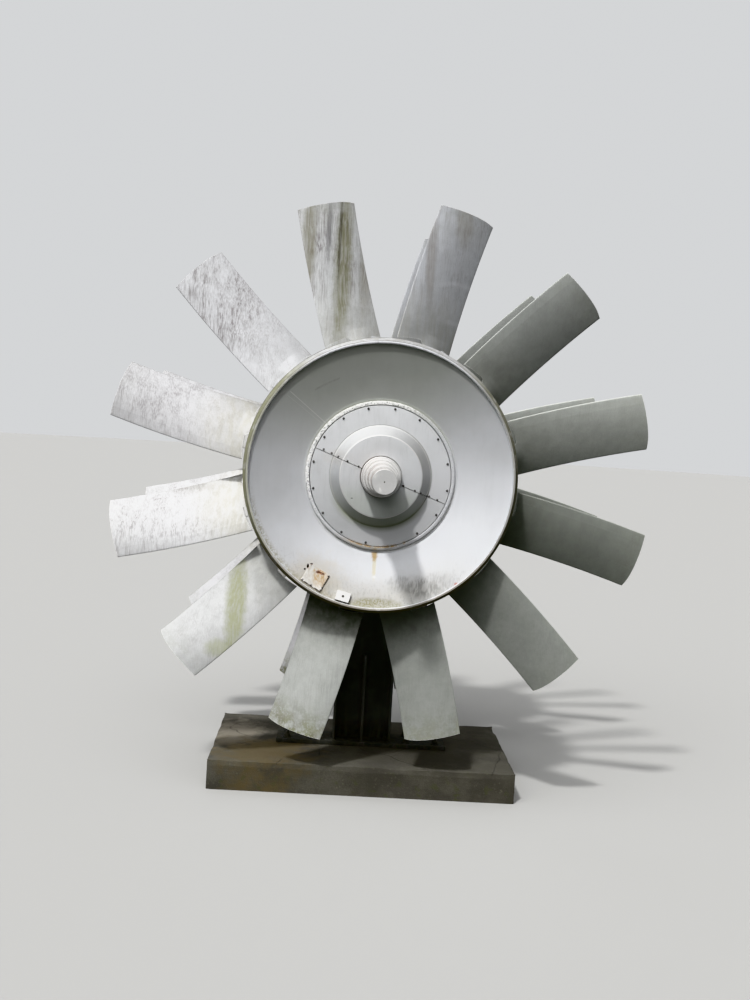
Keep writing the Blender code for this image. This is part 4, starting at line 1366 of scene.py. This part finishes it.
def makeStand(standPaint):
    plateLow, columnLow, columnHigh, saddleLow = standLevels()
    plateZ = stand["plateSize"][2]
    shape = bmesh.new()
    addBlock(shape, stand["plateSize"], Matrix.Translation((0, 0, plateLow + plateZ / 2)), 0.0022, 2)
    addPiece("basePlate", toMesh(shape, "basePlate"), "stand", standPaint, ("base_plate",))

    halfX, halfY = stand["columnWidth"] / 2, stand["columnDepth"] / 2
    inX, webY, soft = halfX - stand["flange"], stand["web"] / 2, stand["fillet"]
    quarter = [(halfX, 0, 0.0), (halfX, halfY, 0.002), (inX, halfY, 0.004), (inX, webY, soft)]
    outline = quarter[1:] + [(-x, y, s) for x, y, s in reversed(quarter[1:])]
    outline += [(-x, -y, s) for x, y, s in quarter[1:]] + [(x, -y, s) for x, y, s in reversed(quarter[1:])]
    shape = extruded(softCorners(outline, 0.002, 4), columnLow, columnHigh)
    addPiece("columnSection", toMesh(shape, "columnSection", 30), "stand", standPaint,
             ("column_web", "column_flange_left", "column_flange_right"))

    depth = halfY - webY - layout["gap"]
    for side, title, node in ((-1, "frontRib", "front_rib"), (1, "rearRib", "rear_rib")):
        snipe, top = stand["ribSnipe"], columnLow + stand["ribHeight"]
        inner, outer = side * (webY + layout["gap"]), side * (webY + layout["gap"] + depth)
        outline = [(inner + side * snipe, columnLow), (outer, columnLow), (outer, top - snipe),
                   (outer - side * snipe, top), (inner, top), (inner, columnLow + snipe)]
        shape = bmesh.new()
        near = [shape.verts.new((-stand["rib"] / 2, y, z)) for y, z in outline]
        face = shape.faces.new(near)
        made = bmesh.ops.extrude_face_region(shape, geom=[face])
        raised = [thing for thing in made["geom"] if isinstance(thing, bmesh.types.BMVert)]
        bmesh.ops.translate(shape, verts=raised, vec=(stand["rib"], 0, 0))
        bmesh.ops.bevel(shape, geom=list(shape.edges), offset=0.0015, segments=2, profile=0.6, affect="EDGES")
        addPiece(title, toMesh(shape, title), "stand", standPaint, (node,))

    shape = bmesh.new()
    saddleZ = stand["saddleSize"][2]
    addBlock(shape, stand["saddleSize"], Matrix.Translation((0, 0, saddleLow + saddleZ / 2)), 0.003, 2)
    addPiece("saddlePlate", toMesh(shape, "saddlePlate"), "stand", standPaint,
             ("saddle_plate",))

    bead, low, high = stand["weld"], columnLow, columnHigh
    shape = bmesh.new()
    for z in (low, high):
        for sx in (-1, 1):
            ring = [(sx * halfX, -halfY, z), (sx * halfX, halfY, z), (sx * inX, halfY, z),
                    (sx * inX, -halfY, z)]
            beadAlong(shape, ring, bead, True)
        for sy in (-1, 1):
            beadAlong(shape, [(-inX + 0.01, sy * webY, z), (inX - 0.01, sy * webY, z)], bead)
    for sy in (-1, 1):
        for sx in (-1, 1):
            x, y = sx * stand["rib"] / 2, sy * (webY + 0.002)
            beadAlong(shape, [(x, y, low + stand["ribSnipe"]), (x, y, low + stand["ribHeight"])], 0.8 * bead)
            beadAlong(shape, [(x, sy * (webY + stand["ribSnipe"]), low), (x, sy * halfY, low)], 0.8 * bead)
    addPiece("standWelds", toMesh(shape, "standWelds", 60), "stand", standPaint)

    shape = bmesh.new()
    for x in (-0.385, -0.235, 0.235, 0.385):
        for y in (-0.07, 0.07):
            matrix = Matrix.Translation((x, y, plateLow + plateZ)) @ Matrix.Rotation(x * 9 + y * 5, 4, "Z")
            addBolt(shape, matrix, 0.021)
            addDisc(shape, matrix, 0.018, 0.034, 0.0095, 0.0085, 14)
    addPiece("anchorBolts", toMesh(shape, "anchorBolts"), "stand", standPaint)


# Bearing: square lower half and round cap
bearing = {
    "iron": (0.085, 0.088, 0.086),
    "paleIron": (0.125, 0.125, 0.118),
    "dust": (0.20, 0.19, 0.16),
    "rust": (0.19, 0.10, 0.05),
    "width": 0.40,
    "length": 0.24,
    "footHeight": 0.045,
    "capRadius": 0.175,
    "bore": 0.1258,
}


def bearingArc(radius, start, end, steps, shift=0.0):
    angles = [start + (end - start) * i / steps for i in range(steps + 1)]
    return [(radius * math.cos(angle), radius * math.sin(angle) + shift, 0.0) for angle in angles]


def makeBearing():
    material, tree, shader, place = startFinish("bearingIron")
    cloud = effect(tree, "patches", place=place, size=0.08)
    colour = mix(tree, cloud, bearing["iron"], bearing["paleIron"])
    dust = effect(tree, "dripStreaks", place=place, width=0.02, length=0.12, start=0.48, full=0.72)
    colour = coat(tree, colour, bearing["dust"], dust, 0.4)
    edge = effect(tree, "wornEdges", radius=0.004, start=0.04, full=0.25)
    colour = coat(tree, colour, bearing["rust"], edge, 0.5)
    skin = effect(tree, "sheetSkin", "Height", place=place, wave=0.05, waveDepth=0.0008, grain=0.006,
                  grainDepth=0.0006)
    setSurface(tree, shader, colour, 0.62, 0.25, skin)
    half, foot, drop = bearing["width"] / 2, bearing["footHeight"], stand["bearingDrop"]
    joint = layout["gap"] / 2
    side = [(half, -joint, 0.002), (half, -0.05, 0.012), (half - 0.035, -0.075, 0.012),
            (half - 0.035, -drop + 0.05, 0.012), (half, -drop + 0.03, 0.008), (half, -drop, 0.003)]
    lower = side + [(-x, z, soft) for x, z, soft in reversed(side)]
    lower += bearingArc(bearing["bore"], -math.pi, 0.0, 40, -joint)
    angle = math.asin((foot + 0.02) / bearing["capRadius"])
    crown = bearingArc(bearing["capRadius"], angle, math.pi - angle, 36)
    upper = [(half, joint, 0.002), (half, foot, 0.006), (crown[0][0] + 0.012, foot, 0.010)] + crown
    upper += [(-crown[0][0] - 0.012, foot, 0.010), (-half, foot, 0.006), (-half, joint, 0.002)]
    upper += bearingArc(bearing["bore"], math.pi, 0.0, 40, joint)
    for title, node, outline in (("bearingBase", "bearing_base", lower),
                                 ("bearingCap", "bearing_cap", upper)):
        shape = extruded(softCorners(outline, 0.002, 3), -bearing["length"] / 2, bearing["length"] / 2, "Y")
        bmesh.ops.translate(shape, verts=shape.verts, vec=(0, 0, layout["axisHeight"]))
        bmesh.ops.remove_doubles(shape, verts=shape.verts, dist=0.0001)
        rim = [edge for edge in shape.edges if len({round(v.co.y, 4) for v in edge.verts}) == 1]
        bmesh.ops.bevel(shape, geom=rim, offset=0.003, segments=2, profile=0.6, affect="EDGES",
                        clamp_overlap=True)
        addPiece(title, toMesh(shape, title), "stand", material, (node,))
    shape = bmesh.new()
    top, bottom = layout["axisHeight"] + foot, layout["axisHeight"] - drop + 0.030
    for x in (-0.181, 0.181):
        for y in (-0.07, 0.07):
            for z, turn, size in ((top, x * 4 + y, 0.017), (bottom, y * 6, 0.0165)):
                addBolt(shape, Matrix.Translation((x, y, z)) @ Matrix.Rotation(turn, 4, "Z"), size)
    addPiece("bearingBolts", toMesh(shape, "bearingBolts"), "stand", material)


standPaint = makeStandPaint()
makeStand(standPaint)
makeBearing()
print("stand made")


# Plinth: cast concrete with worn arrises
plinth = {
    "concrete": (0.098, 0.094, 0.078),
    "darkConcrete": (0.068, 0.065, 0.053),
    "sand": (0.055, 0.051, 0.040),
    "pebbles": (0.16, 0.155, 0.115),
    "damp": (0.055, 0.052, 0.045),
    "paleLeft": (0.225, 0.205, 0.165),
    "brownLeft": (0.105, 0.082, 0.042),
    "green": (0.066, 0.074, 0.034),
    "crack": (0.03, 0.028, 0.024),
    "size": (1.52, 1.00, 0.15),
    "cuts": 46,
    "chip": 0.010,
}


def makePlinth():
    sizeX, sizeY, sizeZ = plinth["size"]
    shape = bmesh.new()
    bmesh.ops.create_cube(shape, size=1.0)
    bmesh.ops.subdivide_edges(shape, edges=list(shape.edges), cuts=plinth["cuts"], use_grid_fill=True)
    for vert in shape.verts:
        x, y, z = vert.co.x, vert.co.y, vert.co.z
        # the outer cells are narrower, so that the arrises can be worn
        x, y = (math.copysign(0.5 * (2 * abs(v)) ** 0.9, v) for v in (x, y))
        place = Vector((x * sizeX, y * sizeY, z * sizeZ + sizeZ / 2))
        gaps = sorted(((sizeX / 2 - abs(place.x), 0), (sizeY / 2 - abs(place.y), 1), (sizeZ - place.z, 2)))
        reach = gaps[0][0] + gaps[1][0]
        worn = max(0.0,
                   1 - reach / 0.030) * (0.0035 + plinth["chip"] * max(0.0, noise.noise(place * 11)) ** 1.5)
        rough = 0.0008 * noise.noise(place * 45)
        for distance, axis in gaps[:2]:
            if distance < 0.030:
                inward = -1 if axis == 2 else -math.copysign(1, place[axis])
                place[axis] += inward * (worn + abs(rough))
        place.z = max(0.0, place.z)
        if z > 0.49:
            place.z -= 0.0022 * (1 + noise.noise(place * 3.0))
            if abs(place.x) < 0.46 and abs(place.y) < 0.13:
                place.z = max(place.z, sizeZ - 0.0004)
        vert.co = place
    material, tree, shader, at = startFinish("plinthConcrete")
    cloud = effect(tree, "patches", place=at, size=0.28, start=0.36, full=0.64)
    colour = mix(tree, cloud, plinth["concrete"], plinth["darkConcrete"])
    sand = effect(tree, "patches", place=at, size=0.006, start=0.45, full=0.65)
    colour = coat(tree, colour, plinth["sand"], sand, 0.35)
    stones = put(tree, "ShaderNodeTexVoronoi", {"Vector": at, "Scale": 55.0}).outputs["Distance"]
    pebble = remap(tree, stones, 0.32, 0.18)
    shown = times(tree, pebble, effect(tree, "patches", place=at, size=0.09, start=0.50, full=0.62))
    colour = coat(tree, colour, plinth["pebbles"], shown, 0.4)
    damp = effect(tree, "patches", place=at, size=0.18, start=0.48, full=0.60)
    colour = coat(tree, colour, plinth["damp"], damp, 0.5)
    # a paler patch on the left and a brown one in front of it
    paleLeft = effect(tree, "spot", place=at, centre=(-0.66, 0.05, 0.15), reach=(0.20, 0.42, 0.4), ragged=0.5,
                 grain=0.09)
    colour = coat(tree, colour, plinth["paleLeft"], paleLeft, 0.8)
    brownLeft = effect(tree, "spot", place=at, centre=(-0.50, -0.30, 0.15), reach=(0.34, 0.35, 0.4), ragged=0.5,
                  grain=0.09)
    colour = coat(tree, colour, plinth["brownLeft"], brownLeft, 0.8)
    growth = effect(tree, "patches", place=at, size=0.05, start=0.56, full=0.64)
    low = remap(tree, axes(tree, at)["Z"], 0.14, 0.03, 0.25, 1.0)
    green = times(tree, growth, low)
    colour = coat(tree, colour, plinth["green"], green, 0.5)
    warp = put(tree, "ShaderNodeTexNoise", {"Vector": at, "Scale": 4.0, "Detail": 3.0}).outputs["Color"]
    bent = along(tree, "ADD", at, along(tree, "MULTIPLY", warp, (0.16, 0.16, 0.16)))
    cells = put(tree, "ShaderNodeTexVoronoi", {"Vector": bent, "Scale": 2.1},
                feature="DISTANCE_TO_EDGE").outputs["Distance"]
    crack = times(tree, remap(tree, cells, 0.009, 0.001),
                  effect(tree, "patches", place=at, size=0.30, start=0.46, full=0.56))
    crack = times(tree, crack, remap(tree, axes(tree, at)["Z"], 0.130, 0.145))
    colour = coat(tree, colour, plinth["crack"], crack, 0.45)
    rough = noiseAt(tree, at, 120.0, 6.0, 0.7)
    height = calc(tree, "SUBTRACT", times(tree, rough, 0.0016), times(tree, crack, 0.003))
    setSurface(tree, shader, colour, 0.92, 0.0, height)
    addPiece("plinthBlock", toMesh(shape, "plinthBlock", 50), "stand", material, ("plinth",))


makePlinth()
print("plinth made")

# Setting: a pale floor, one main light high on the left and a soft sky
light = {
    "tint": (1.0, 0.99, 0.98),
    "backdrop": (0.70, 0.71, 0.72),
    "towards": (-0.279, -0.558, 0.781),
    "strength": 2.5,
    "angle": 4.0,
    "glow": 3.0,
    "skyTop": 0.30,
    "skyMiddle": 0.42,
    "skyBehind": 0.25,
    "skyTint": (1.0, 1.0, 1.005),
    "floorSeen": (0.42, 0.42, 0.41),
    "floorLight": (0.03, 0.032, 0.028),
}


def makeSetting():
    shape = bmesh.new()
    bmesh.ops.create_circle(shape, cap_ends=True, segments=64, radius=60.0)
    mesh = bpy.data.meshes.new("floor")
    shape.to_mesh(mesh)
    shape.free()
    floor = bpy.data.objects.new("floor", mesh)
    bpy.context.scene.collection.objects.link(floor)
    material, tree, shader = startFinish("paleFloor")[:3]
    seen = put(tree, "ShaderNodeLightPath").outputs["Is Camera Ray"]
    tree.links.new(mix(tree, seen, light["floorLight"], light["floorSeen"]), shader.inputs["Base Color"])
    shader.inputs["Roughness"].default_value = 0.9
    mesh.materials.append(material)
    sun = bpy.data.lights.new("mainLight", "SUN")
    sun.energy = light["strength"]
    sun.angle = math.radians(light["angle"])
    sun.color = light["tint"]
    lamp = bpy.data.objects.new("mainLight", sun)
    bpy.context.scene.collection.objects.link(lamp)
    lamp.rotation_mode = "QUATERNION"
    lamp.rotation_quaternion = Vector(light["towards"]).to_track_quat("Z", "Y")
    world = bpy.data.worlds.new("softSky")
    world.use_nodes = True
    tree = world.node_tree
    way = put(tree, "ShaderNodeTexCoord").outputs["Generated"]
    parts = axes(tree, way)
    near = along(tree, "DOT_PRODUCT", along(tree, "NORMALIZE", way), light["towards"])
    high = remap(tree, parts["Z"], 0.50, 0.80)
    middle = times(tree, calc(tree, "SUBTRACT", remap(tree, parts["Z"], 0.05, 0.30), high),
                   light["skyMiddle"])
    sky = plus(tree, middle, times(tree, high, light["skyTop"]))
    sky = plus(tree, sky, times(tree, remap(tree, near, 0.75, 0.99), light["glow"]))
    sky = plus(tree, sky, times(tree, remap(tree, parts["Y"], 0.20, 0.80), light["skyBehind"]))
    seen = put(tree, "ShaderNodeLightPath").outputs["Is Camera Ray"]
    tinted = mix(tree, 1.0, sky, light["skyTint"], "MULTIPLY")
    tree.links.new(mix(tree, seen, tinted, light["backdrop"]), tree.nodes["Background"].inputs["Color"])
    bpy.context.scene.world = world
    bpy.context.scene.view_settings.view_transform = "Khronos PBR Neutral"


makeSetting()
print("setting made")
